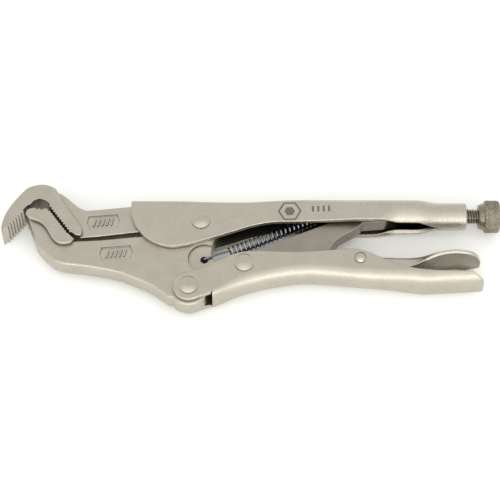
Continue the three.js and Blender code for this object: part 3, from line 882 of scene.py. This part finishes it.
@dataclass
class FixedJaw(Jaws):
    """The fixed jaw: a hooked head with two toothed faces, and a shank that runs into the upper handle."""

    def head_outline(self) -> Outline:
        """Lay out the hook: its back, the near toothed face, the arch, the hook's teeth and the outside."""
        back = spline(self.head([(-13.3, 18.9), (-8.6, 10.2), (-3.8, 2.6), (-0.4, -2.1), (0.8, -5.2),
                                 (0.4, -8.2)]))
        arch = spline(self.head([(-16.6, 10.6), (-18.0, 11.8), (-21.15, 13.1), (-24.0, 12.1), (-25.5, 10.2),
                                 (-27.3, 9.2)]))
        outside = spline(self.head([(-39.4, -5.6), (-39.7, -3.6), (-38.6, 2.5), (-35.3, 9.6), (-29.3, 18.0),
                                    (-25.9, 20.4), (-20.6, 21.6), (-16.3, 20.7), (-13.3, 18.9)]))
        near, far = self.head([(-4.4, -6.4), (-16.0, 9.6)])
        hook, tip = self.head([(-29.2, 6.6), (-37.6, -4.2)])
        outline = Outline().add(back, 0.6).add(self.head([(-2.4, -8.0)]), 0.3)
        outline.add(saw_teeth(near, far, 11, self.tooth), 0.18)
        return outline.add(arch, 0.35).add(saw_teeth(hook, tip, 7, self.tooth), 0.18).add(outside, 0.7)

    def shank_outline(self) -> Outline:
        """Lay out the shank from inside the head to the hollow round the other jaw's lobe."""
        top = spline(self.head([(-13.4, 18.6), (-9.8, 16.6), (-6.1, 13.5), (-2.4, 9.9), (0.5, 8.2),
                                (3.0, 7.5), (8.2, 7.9), (14, 8.6)]))
        relief, back = 9.4, -6.0
        start = math.degrees(math.atan2(math.sqrt(relief**2 - back**2), back))
        outline = Outline().add(self.head([(-6, -3.5), (-12, 7.5), (-16, 16)]), 0.5).add(top, 0.7)
        outline.add([(-34, 9.7), (back, 9.7)], 0.3).arc((0, 0), relief, start, 195, 0.3)
        return outline.add([(-30.9, -5.1), *self.head([(9.8, -7.6), (0.2, -8.6)])], 0.5)

    def build(self, place: Place) -> None:
        """Build the fixed jaw and dress it."""
        jaw = self.forging("fixed_jaw_forging", (-48.9, 0.6), [], place)
        settle(jaw, FORGED_NICKEL.material(), ["upper_jaw"], Body.FRAME)


@dataclass
class MovingJaw(Jaws):
    """The moving jaw: a toothed head, a curved shank, and lobes for the jaw pivot and the handle pivot."""

    handle_pivot: Point = HANDLE_PIVOT
    spring_hole: Point = SPRING_HOLE
    pocket: float = 8.0
    pocket_depth: float = 2.0
    lobe: float = 8.8
    handle_lobe: float = 9.5

    def head_outline(self) -> Outline:
        """Lay out the head: the toothed face, the crown with two teeth, the nose and the step below."""
        face = self.head([(-3.0, -9.9), (-4.9, -8.4), (-6.2, -7.0)])
        crown = saw_teeth(*self.head([(-19.0, 7.2), (-23.4, 7.9)]), 2, self.tooth)
        nose = spline(self.head([(-25.4, 7.5), (-27.0, 6.9), (-27.9, 5.0), (-27.6, 3.4), (-26.2, 2.1)]))
        step = spline(self.head([(-26.2, 2.1), (-23.9, 1.1), (-20.7, -0.4), (-17.8, -3.2), (-14.4, -9.1),
                                 (-12.5, -11.4), (-10.4, -12.6), (-7.5, -12.9), (-4.7, -12.2), (-3.0, -9.9)]))
        teeth = saw_teeth(*self.head([(-6.2, -7.0), (-15.4, 5.7)]), 9, 0.6)
        corner = self.head([(-16.5, 5.8), (-17.2, 7.3)])
        outline = Outline().add(face, 0.3).add(teeth, 0.15).add(corner, 0.2)
        return outline.add(crown, 0.15).add(nose, 0.5).add(step, 0.7)

    def shank_outline(self) -> Outline:
        """Lay out the shank: the belly down to the handle pivot, the rear edge, the jaw lobe and the top."""
        under_head = self.head([(-26.9, 2.2), (-24.6, -4.6), (-21.4, -12.4), (-15.0, -19.8), (-8.9, -23.2),
                                (4.9, -25.2), (19.2, -28.3)])
        belly = spline([*under_head, (-35, -30.6), (-24, -35.9), (-15.5, -42.3)])
        rear = spline([(3.86, -37.0), (4.9, -29), (6.6, -21.9), (5.1, -16.1), (6.5, -10.8), (self.lobe, -3)])
        outline = Outline().add(self.head([(-3.2, -10.6), (-6.5, -9.5), (-12, -3.0), (-22, 3.5)]), 0.5)
        outline.add(belly, 1.25).arc(self.handle_pivot, self.handle_lobe, 216, 360, 1.25).add(rear, 0.6)
        outline.arc((0, 0), self.lobe, 0, 212.4, 0.5)
        return outline.add([(-30.8, -7.9), *self.head([(9.8, -10.0)])], 0.4)

    def pocket_cutter(self) -> list[Shape]:
        """Make the cutters of the round pocket for the spring's hook, one on each face, with a soft rim."""
        floor, top = self.half - self.pocket_depth, self.half + 1.5
        wall, rim = self.pocket, self.half
        profile = [(0.2, floor), (wall - 0.5, floor), (wall - 0.15, floor + 0.15), (wall, floor + 0.5),
                   (wall, rim - 0.45), (wall + 0.15, rim - 0.15), (wall + 0.45, rim), (wall + 0.6, top),
                   (0.2, top)]
        near = turned(profile, Axis.ACROSS, self.spring_hole, 80)
        far = turned([(r, -height) for r, height in profile[::-1]], Axis.ACROSS, self.spring_hole, 80)
        return [near, far]

    def build(self, place: Place) -> None:
        """Build the moving jaw and dress it."""
        holes = [(self.spring_hole, 2.0), ((0, 0), self.hole), (self.handle_pivot, self.hole)]
        cutters = self.pocket_cutter() + [self.bore(at, radius) for at, radius in holes]
        jaw = self.forging("moving_jaw_forging", (-41.9, -17.4), cutters, place)
        settle(jaw, FORGED_NICKEL.material(), ["lower_jaw"], Body.JAW)


@dataclass
class LowerHandle:
    """The lower handle: an upward-opening channel with flat ears in front and a wide round tail."""

    sheet: float = 2.5
    edge: float = 0.55
    front: float = 6.0
    end: float = 140.1
    channel_half: float = 7.8
    channel_inner: float = 5.3
    tail_half: float = 9.5
    front_bend: float = 3.0
    web_bend: float = 6.0
    tail_bend: float = 6.5
    corner: float = 7.5
    pivot: Point = HANDLE_PIVOT
    ear: float = 7.8
    ear_turn: float = 111.6
    lap: float = 12.0

    def top_line(self) -> Array:
        """Lay out the walls' top edge from the ears to the tail."""
        turn = math.radians(self.ear_turn)
        start = (self.pivot[0] + self.ear * math.cos(turn), self.pivot[1] + self.ear * math.sin(turn))
        return spline([start, (-2.7, -28.4), (6.7, -23.9), (15.2, -19.7), (25.4, -17.4), (44.4, -18.0),
                       (58.3, -17.4), (74.2, -16.2), (81.2, -17.2), (90.6, -21.7), (101.7, -26.9),
                       (113, -29.0), (128, -29.5), (self.end + 1, -29.3)], 16)

    def crown(self, x: Array) -> Array:
        """Give the height of the web's outer face, as a depth below the jaw pivot."""
        return line_through(x, [(6, 42.4), (24, 35.9), (36, 32.8), (47, 31.0), (58, 30.7), (78, 32.6),
                                (96.1, 34.0), (110.1, 35.5), (118.1, 35.3), (self.end, 34.0)])

    def section(self, x: Array) -> tuple[Section, Array]:
        """Work out the outer face, upside down, and how far it reaches.

        The walls stop at the top edge: below the bend's end the turn is the arc cosine of 1 - height / bend.
        The tail is cut round in plan: at u into its corner c the half width is less by c - sqrt(c^2 - u^2).

        Args:
            x: Stations along X.

        Returns:
            The section and its reach.
        """
        tail = along(x, [(self.end - 56, 0), (self.end - 32, 1)])
        half = blend(self.channel_half, self.tail_half, tail)
        web = along(x, [(self.front, self.front_bend), (self.front + 14, self.web_bend)])
        bend = blend(web, self.tail_bend, tail)
        crown, line = self.crown(x), self.top_line()
        height = crown + np.interp(x, line[:, 0], line[:, 1])
        angle = np.arccos(np.clip(1 - height / bend, 0, 1))
        wall = np.maximum(height - bend, 0.001)
        ones = np.ones_like(x)
        section = Section(crown, half - bend, bend, angle, wall, ones, 0 * ones)
        past = np.clip(x - (self.end - self.corner), 0, self.corner)
        width = half - self.corner + np.sqrt(self.corner**2 - past**2)
        sine = np.clip((width - section.flat) / bend, 0, 1)
        round_reach = np.where(width < section.flat, width, section.flat + bend * np.arcsin(sine))
        return section, np.where(past > 0, np.minimum(section.length(), round_reach), section.length())

    def ears(self) -> Shape:
        """Make the two flat ears that carry the walls forward round the handle pivot."""
        line = self.top_line()
        top = line[line[:, 0] < self.lap][::-1]
        y = self.pivot[1]
        lap_top = (self.lap, float(np.interp(self.lap, line[:, 0], line[:, 1])))
        outline = Outline().add([lap_top], self.edge).add(top, self.edge)
        outline.arc(self.pivot, self.ear, self.ear_turn, 287, self.edge)
        outline.add([(5.6, y - 3.9), (6.3, y - 2.5), (self.lap, y + 0.6)], self.edge)
        proud = 0.02
        near, far = self.channel_inner - proud, self.channel_half + proud
        return slab(outline, near, far) + slab(outline, -far, -near)

    def build(self, place: Place) -> None:
        """Build the handle and dress it."""
        x = stations(self.front, self.end, 0.9, self.edge, self.corner)
        section, reach = self.section(x)
        channel = bent_sheet(x, section, reach, self.sheet, self.edge)
        channel.corners[:, 1:] *= -1
        handle = new_object("lower_handle_pressing", channel + self.ears(), place)
        settle(handle, PRESSED_NICKEL.material(), ["lower_handle"], Body.HANDLE)


@dataclass
class ToggleLink:
    """The toggle link: a thick bar from its rivet to the screw's tip, with a hump that the lever lifts."""

    half: float = 4.3
    pivot: Point = (21.7, -24.4)
    tip: Point = (90.0, 5.6)
    eye: float = 6.4
    tip_radius: float = 4.6
    bar: float = 5.5
    hole: float = 3.6

    def outline(self) -> Outline:
        """Lay out the bar: straight top, round eye, the hump underneath and the round tip."""
        slope = math.atan2(self.tip[1] - self.pivot[1], self.tip[0] - self.pivot[0])
        up = np.array([-math.sin(slope), math.cos(slope)])
        degrees = math.degrees(slope) + 90
        top = [np.array(self.tip) + (-12, -5) + up * self.bar, np.array(self.pivot) + up * self.eye]
        under = spline([(40, -22.4), (52, -16.9), (62, -16.6), (64.3, -14.6), (67.2, -10.3), (71, -7.0),
                        (78, -2.8), (81, 0.5)])
        outline = Outline().add(top, 0.5).arc(self.pivot, self.eye, degrees, degrees + 180, 0.5)
        return outline.add(under, 0.5).arc(self.tip, self.tip_radius, degrees - 180, degrees, 0.5)

    def build(self, place: Place) -> None:
        """Build the link with its rivet hole and the small stamped dimple in its lower edge, and dress it."""
        hole = turned([(self.hole, -self.half - 1), (self.hole, self.half + 1)], Axis.ACROSS, self.pivot, 48)
        turn = np.linspace(-np.pi / 2 + 0.1, np.pi / 2 - 0.1, 12)
        ball = turned([(0.9 * math.cos(a), 0.9 * math.sin(a)) for a in turn], Axis.ACROSS, (73.6, -5.9), 24)
        bar = new_object("toggle_link_bar", slab(self.outline(), -self.half, self.half), place)
        link = cut(bar, [hole, ball], place)
        settle(link, LINK_NICKEL.material(), ["toggle_link"], Body.LINK)


@dataclass
class ReleaseLever:
    """The release lever: a narrow pressed channel that flattens into a wide dished paddle."""

    sheet: float = 2.0
    edge: float = 0.45
    nose: float = 61.0
    end: float = 139.1
    pivot: Point = (79.2, -21.5)
    half: float = 5.0
    bend: float = 2.5
    paddle_half: float = 9.4
    paddle_bend: float = 9.0
    hole: float = 2.2

    def section(self, x: Array) -> tuple[Section, Array]:
        """Work out the outer face and how far it reaches, cut round in plan at the paddle's end."""
        spread = along(x, [(self.end - 42, 0), (self.end - 18, 1)])
        bend = blend(self.bend, self.paddle_bend, spread)
        angle = np.radians(blend(90.0, 35.0, spread))
        wall = along(x, [(self.nose, 2.2), (self.nose + 11, 5.6), (self.pivot[0] + 9, 5.6),
                         (self.end - 41, 4.2), (self.end - 18, 1.0)])
        half = blend(self.half, self.paddle_half, spread)
        flat = half - bend * np.sin(angle) - wall * np.cos(angle)
        crown = line_through(x, [(self.nose - 1, -21.0), (self.nose + 8, -18.9), (self.pivot[0] - 3, -18.2),
                                 (self.pivot[0] + 12, -18.9), (self.end - 38, -19.1), (self.end - 22, -17.0),
                                 (self.end - 12, -15.8), (self.end - 4, -17.2), (self.end + 1, -20.2)])
        ones = np.ones_like(x)
        section = Section(crown, flat, bend, angle, wall, ones, 0 * ones)
        corner = self.paddle_half - 0.5
        past = np.clip(x - (self.end - corner), 0, corner)
        width = self.paddle_half - corner + np.sqrt(corner**2 - past**2)
        sine = np.clip((width - flat) / bend, 0, 1)
        round_reach = np.where(width < flat, width, flat + bend * np.arcsin(sine))
        limit = flat + bend * np.sin(angle)
        reach = np.where((past > 0) & (width < limit), round_reach, section.length())
        between = (past > 0) & (width >= limit)
        out = flat + bend * angle + (width - limit) / np.cos(angle)
        return section, np.where(between, np.minimum(out, section.length()), reach)

    def build(self, place: Place) -> None:
        """Build the lever with its rivet hole, and dress it."""
        x = stations(self.nose, self.end, 0.8, self.edge, self.paddle_half - 0.5)
        section, reach = self.section(x)
        sheet = bent_sheet(x, section, reach, self.sheet, self.edge, 40)
        lever = new_object("release_lever_pressing", sheet, place)
        hole = turned([(self.hole, -self.half - 1), (self.hole, self.half + 1)], Axis.ACROSS, self.pivot, 40)
        cut(lever, [hole], place)
        settle(lever, PRESSED_NICKEL.material(), ["release_lever"], Body.LEVER)


@dataclass
class Rivet:
    """A headed rivet across the tool: a shaft with a low dome on each side."""

    name: str
    node: str
    at: Point
    body: Body
    shaft: float = 3.3
    head: float = 4.8
    rise: float = 1.7
    seat: float = 8.1

    def build(self, place: Place) -> None:
        """Build the rivet: its dome falls from the top by u^2.6 of its rise at the share u of its radius."""
        share = np.linspace(1, 0.03, 22)
        radius = self.head * share
        height = self.seat + 0.25 + (self.rise - 0.25) * (1 - share**2.6)
        neck = [(self.shaft, self.seat - 0.02), (self.head - 0.1, self.seat)]
        top = neck + list(zip(radius, height, strict=True))
        profile = [(r, -h) for r, h in top[::-1]] + top
        piece = new_object(self.name, turned(profile, Axis.ACROSS, self.at), place, 50)
        settle(piece, RIVET_NICKEL.material(), [self.node], self.body)


@dataclass
class AdjustingScrew:
    """The adjusting screw: a plain nose, a rolled thread and a knurled knob."""

    axis: Point = (SCREW_HEIGHT, 0.0)
    tip: float = 97.6
    nose_length: float = 5.0
    nose: float = 3.0
    radius: float = 3.95
    root: float = 3.2
    pitch: float = 1.25
    knob: float = 8.25
    knob_start: float = 139.6
    knurl_start: float = 142.4
    knob_end: float = 150.3
    shoulder: float = 6.0
    edge: float = 1.4
    knurls: int = 26
    knurl_pitch: float = 2.0
    knurl_depth: float = 0.42

    def nose_shape(self) -> Shape:
        """Turn the plain nose with a chamfered tip."""
        back = self.tip + self.nose_length
        chamfer = [(self.nose - 1, self.tip), (self.nose, self.tip + 1)]
        profile = [(0.2, self.tip), *chamfer, (self.nose, back), (0.2, back)]
        return turned(profile, Axis.ALONG, self.axis, 48)

    def rod_shape(self) -> Shape:
        """Roll the thread.

        The phase is x / pitch less the turn as a share of a circle, so the crest winds to the right. The
        radius rises from root to crest as a clipped triangle of that phase, and runs out at the front.
        """
        front, back = self.tip + self.nose_length + 0.3, self.knob_start - 0.1
        x = np.arange(front, back, self.pitch / 12)
        sides = 48
        share = np.arange(sides) / sides
        phase = (x[:, None] / self.pitch - share) % 1
        rise = np.clip(1.35 - 2.7 * np.abs(2 * phase - 1), 0, 1)
        ends = np.clip((x - front) / 0.8, 0, 1)[:, None]
        relief = (self.radius - self.root) * rise * ends
        core = np.column_stack([np.full_like(x, self.root), x])
        return turned(core, Axis.ALONG, self.axis, sides, relief)

    def knob_shape(self) -> Shape:
        """Turn the knob and press the knurl into it.

        Two families of grooves wind opposite ways, each V-shaped in the phase N turn +- x / pitch. The deeper
        of the two is taken from the radius, which leaves small pyramids, and it fades out at both edges.
        """
        turn = np.linspace(0, np.pi / 2, 8)
        inner, last = self.knob - self.edge, self.knob_end - self.edge
        sine, cosine = self.edge * np.sin(turn), self.edge * np.cos(turn)
        first = self.knurl_start + self.edge
        plain = np.arange(first + 0.15, last, 0.15)
        rise = np.column_stack([inner + sine, first - cosine])
        even = np.column_stack([np.full_like(plain, self.knob), plain])
        fall = np.column_stack([inner + cosine, last + sine])
        front, shoulder = self.knob_start, self.shoulder
        neck = [(0.3, front), (shoulder - 0.3, front), (shoulder, front + 0.3),
                (shoulder + 0.5, self.knurl_start - 1.3), (shoulder + 0.8, self.knurl_start - 0.1)]
        profile = np.vstack([neck, rise, even, fall, [(inner - 0.4, self.knob_end), (0.3, self.knob_end)]])
        sides = self.knurls * 12
        radius, x = np.asarray(profile).T
        share = np.arange(sides) / sides * self.knurls
        phase = (x[:, None] - self.knurl_start) / self.knurl_pitch
        grooves = [1 - 3.0 * np.abs((share + sign * phase) % 1 - 0.5) for sign in (1, -1)]
        groove = np.clip(np.maximum(*grooves), 0, 1)
        fade = np.clip((radius - self.knob + 1.0) / 0.8, 0, 1)[:, None]
        return turned(profile, Axis.ALONG, self.axis, sides, -self.knurl_depth * groove * fade)

    def build(self, place: Place) -> None:
        """Build the nose, the rod and the knob, and dress them."""
        nose = new_object("screw_plain_nose", self.nose_shape(), place)
        settle(nose, TURNED_NICKEL.material(), ["screw_nose"], Body.NOSE)
        rod = new_object("screw_rolled_thread", self.rod_shape(), place, 50)
        settle(rod, TURNED_NICKEL.material(), ["screw_rod"], Body.SCREW)
        knob = new_object("knurled_knob_turning", self.knob_shape(), place, 50)
        settle(knob, TURNED_NICKEL.material(), ["knurled_knob"], Body.SCREW)


@dataclass
class MainSpring:
    """The extension spring from the moving jaw's pocket to the tab inside the upper handle."""

    wire: float = 0.55
    coil: float = 2.4
    turns: int = 20
    hole: Point = SPRING_HOLE
    anchor: Point = SPRING_TAB
    start_gap: float = 13.8
    end_gap: float = 7.0
    lift: float = 3.85
    tab_lift: float = 2.1
    per_turn: int = 26

    def route(self) -> tuple[Array, Array]:
        """Lay out the wire's middle line and a side direction that is never in line with it.

        The coil's place is the point on the axis plus the coil radius times (sin, cos) of the turn, across
        the axis and up. The side direction is across on the hooks and radial on the coil, mixed between.

        Returns:
            The points and the side directions.
        """
        a, b = np.array([*self.hole, 0.0]), np.array([*self.anchor, 0.0])
        axis = (b - a) / np.linalg.norm(b - a)
        across, up = np.array([-axis[1], axis[0], 0.0]), np.array([0.0, 0.0, 1.0])
        first, last = a + axis * self.start_gap, b - axis * self.end_gap
        share = np.linspace(0, 1, self.turns * self.per_turn + 1)[:, None]
        turn = 2 * np.pi * self.turns * share
        radial = across * np.sin(turn) + up * np.cos(turn)
        coil = first + (last - first) * share + self.coil * radial
        gap = first - a
        lead = spline([a - up * self.lift, a + up * (self.lift - 1.0), a + axis * 0.9 + up * self.lift,
                       a + gap * 0.5 + up * (self.lift - 0.1), a + gap * 0.86 + up * (self.coil + 0.25),
                       coil[1]], 8)[:-1]
        tail = spline([coil[-2], last + axis * 1.4 + up * (self.coil + 0.05),
                       last + (b - last) * 0.6 + up * self.tab_lift, b + up * (self.tab_lift - 0.6),
                       b - up * self.tab_lift], 8)[1:]
        path = np.vstack([lead, coil[1:-1], tail])
        ease_in, ease_out = np.linspace(0, 1, len(lead))[:, None], np.linspace(1, 0, len(tail))[:, None]
        hooks = [across * (1 - ease) + up * ease for ease in (ease_in, ease_out)]
        side = np.vstack([hooks[0], radial[1:-1], hooks[1]])
        return path, side

    def shape(self, ring: int = 10) -> Shape:
        """Carry a round section along the route: side and across directions made square to the wire."""
        path, side = self.route()
        along_wire = np.gradient(path, axis=0)
        along_wire /= np.linalg.norm(along_wire, axis=1, keepdims=True)
        normal = side - along_wire * np.sum(side * along_wire, axis=1, keepdims=True)
        normal /= np.linalg.norm(normal, axis=1, keepdims=True)
        other = np.cross(along_wire, normal)
        turn = np.linspace(0, 2 * np.pi, ring, endpoint=False)
        around = normal[:, None] * np.cos(turn)[None, :, None] + other[:, None] * np.sin(turn)[None, :, None]
        return tube(path[:, None] + self.wire * around)

    def build(self, place: Place) -> None:
        """Build the spring between the moving jaw and the frame, and leave it on no body."""
        spring = new_object("main_spring_wire", self.shape(), place, 60)
        settle(spring, ZINC_WIRE.material(), ["main_spring"], None)
        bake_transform(spring)


# ---------------------------------------------------------------- studio


@dataclass
class Studio:
    """A pale table, a soft light tent, a softbox and the camera."""

    target: tuple[float, float, float] = (24.6, -12.73, 0.0)
    elevation: float = 60.0
    distance: float = 952.5
    lens: float = 137.16
    floor_tone: str = "#f4f4f2"
    floor_glow: float = 0.12
    tent_base: float = 0.93
    tent_peak: float = 1.52
    bright_wall: tuple[float, float, float] = (0.0, -0.82, 0.57)

    def camera(self, place: Place) -> None:
        """Set the camera: a long lens that looks down at the table from the lower handle's side."""
        view = bpy.data.cameras.new("camera")
        view.sensor_width, view.lens, view.clip_start = 36.0, self.lens, 0.05
        holder = bpy.data.objects.new("camera", view)
        lift = math.radians(self.elevation)
        away = np.array([0.0, -math.cos(lift), math.sin(lift)]) * self.distance
        holder.location = place.metres(np.array(self.target) + away)
        holder.rotation_euler = (math.radians(90) - lift, 0.0, 0.0)
        bpy.context.scene.collection.objects.link(holder)
        bpy.context.scene.camera = holder

    def table(self) -> None:
        """Lay the pale table under the tool."""
        size = 4.0
        mesh = bpy.data.meshes.new("table")
        corners = [(-size, -size, 0), (size, -size, 0), (size, size, 0), (-size, size, 0)]
        mesh.from_pydata(corners, [], [(0, 1, 2, 3)])
        top = bpy.data.objects.new("table", mesh)
        bpy.context.scene.collection.objects.link(top)
        paint = bpy.data.materials.new("matt_white_table")
        paint.use_nodes = True
        shader = paint.node_tree.nodes["Principled BSDF"]
        shader.inputs["Base Color"].default_value = linear(self.floor_tone)
        shader.inputs["Roughness"].default_value = 0.9
        shader.inputs["Specular IOR Level"].default_value = 0.1
        shader.inputs["Emission Color"].default_value = (1, 1, 1, 1)
        shader.inputs["Emission Strength"].default_value = self.floor_glow
        top.data.materials.append(paint)

    def tent(self) -> None:
        """Surround the table with a light tent that is brightest in front, about 35 degrees up.

        The brightness rises from its base with the direction's dot product with the bright wall's middle.
        """
        world = bpy.data.worlds.new("light_tent")
        bpy.context.scene.world = world
        world.use_nodes = True
        tree = world.node_tree
        direction = add_node(tree, "ShaderNodeTexCoord").outputs["Generated"]
        front = add_node(tree, "ShaderNodeVectorMath", {"operation": "DOT_PRODUCT", 1: self.bright_wall},
                         {0: direction})
        level = add_node(tree, "ShaderNodeMapRange",
                         {"From Min": 0.25, "From Max": 1.0, "To Min": self.tent_base,
                          "To Max": self.tent_peak},
                         {"Value": front.outputs["Value"]})
        background = tree.nodes["Background"]
        background.inputs["Color"].default_value = linear("#fffffd")
        tree.links.new(level.outputs["Result"], background.inputs["Strength"])

    def softbox(self, name: str, place: Place, direction: tuple[float, float, float], size: Point,
                watts: float) -> None:
        """Hang a soft rectangular light that faces the tool.

        Args:
            name: The light's name.
            place: Where the tool lies.
            direction: Where it hangs from the tool's middle, in metres.
            size: Its width and height in metres.
            watts: Its power.
        """
        light = bpy.data.lights.new(name, "AREA")
        light.shape, light.size, light.size_y, light.energy = "RECTANGLE", size[0], size[1], watts
        holder = bpy.data.objects.new(name, light)
        away = np.array(direction)
        holder.location = place.metres(np.array(self.target)) + away
        flat = math.hypot(away[0], away[1])
        holder.rotation_euler = (math.atan2(flat, away[2]), 0.0, math.atan2(away[0], -away[1]))
        bpy.context.scene.collection.objects.link(holder)

    def build(self, place: Place) -> None:
        """Build the whole studio."""
        bpy.context.scene.view_settings.view_transform = "Standard"
        self.camera(place)
        self.table()
        self.tent()
        self.softbox("front_softbox", place, (0.05, -0.95, 0.55), (1.6, 0.40), 2.6)


def main() -> None:
    """Load the frame, build every sub-assembly and the studio, and report each piece."""
    logging.basicConfig(level=logging.INFO, format="%(message)s")
    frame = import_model()
    pivot = next(joint for joint in frame["record"]["behaviour"]["joints"] if joint["name"] == "jaw_swing")
    place = Place(tuple(pivot["pos_m"]))
    Studio().build(place)
    handle = LowerHandle()
    link, lever = ToggleLink(), ReleaseLever()
    pieces = [UpperHandle(), FixedJaw(), MovingJaw(), handle, link, lever, AdjustingScrew(), MainSpring()]
    pieces.append(Rivet("jaw_pivot_rivet_headed", "jaw_pivot_rivet", (0.0, 0.0), Body.FRAME))
    pieces.append(Rivet("handle_pivot_rivet_headed", "handle_pivot_rivet", handle.pivot, Body.HANDLE))
    pieces.append(Rivet("link_rivet_headed", "link_rivet", link.pivot, Body.HANDLE))
    pieces.append(Rivet("lever_rivet_headed", "lever_rivet", lever.pivot, Body.HANDLE, shaft=1.9, head=2.9))
    for piece in pieces:
        piece.build(place)


if __name__ == "__main__":
    main()
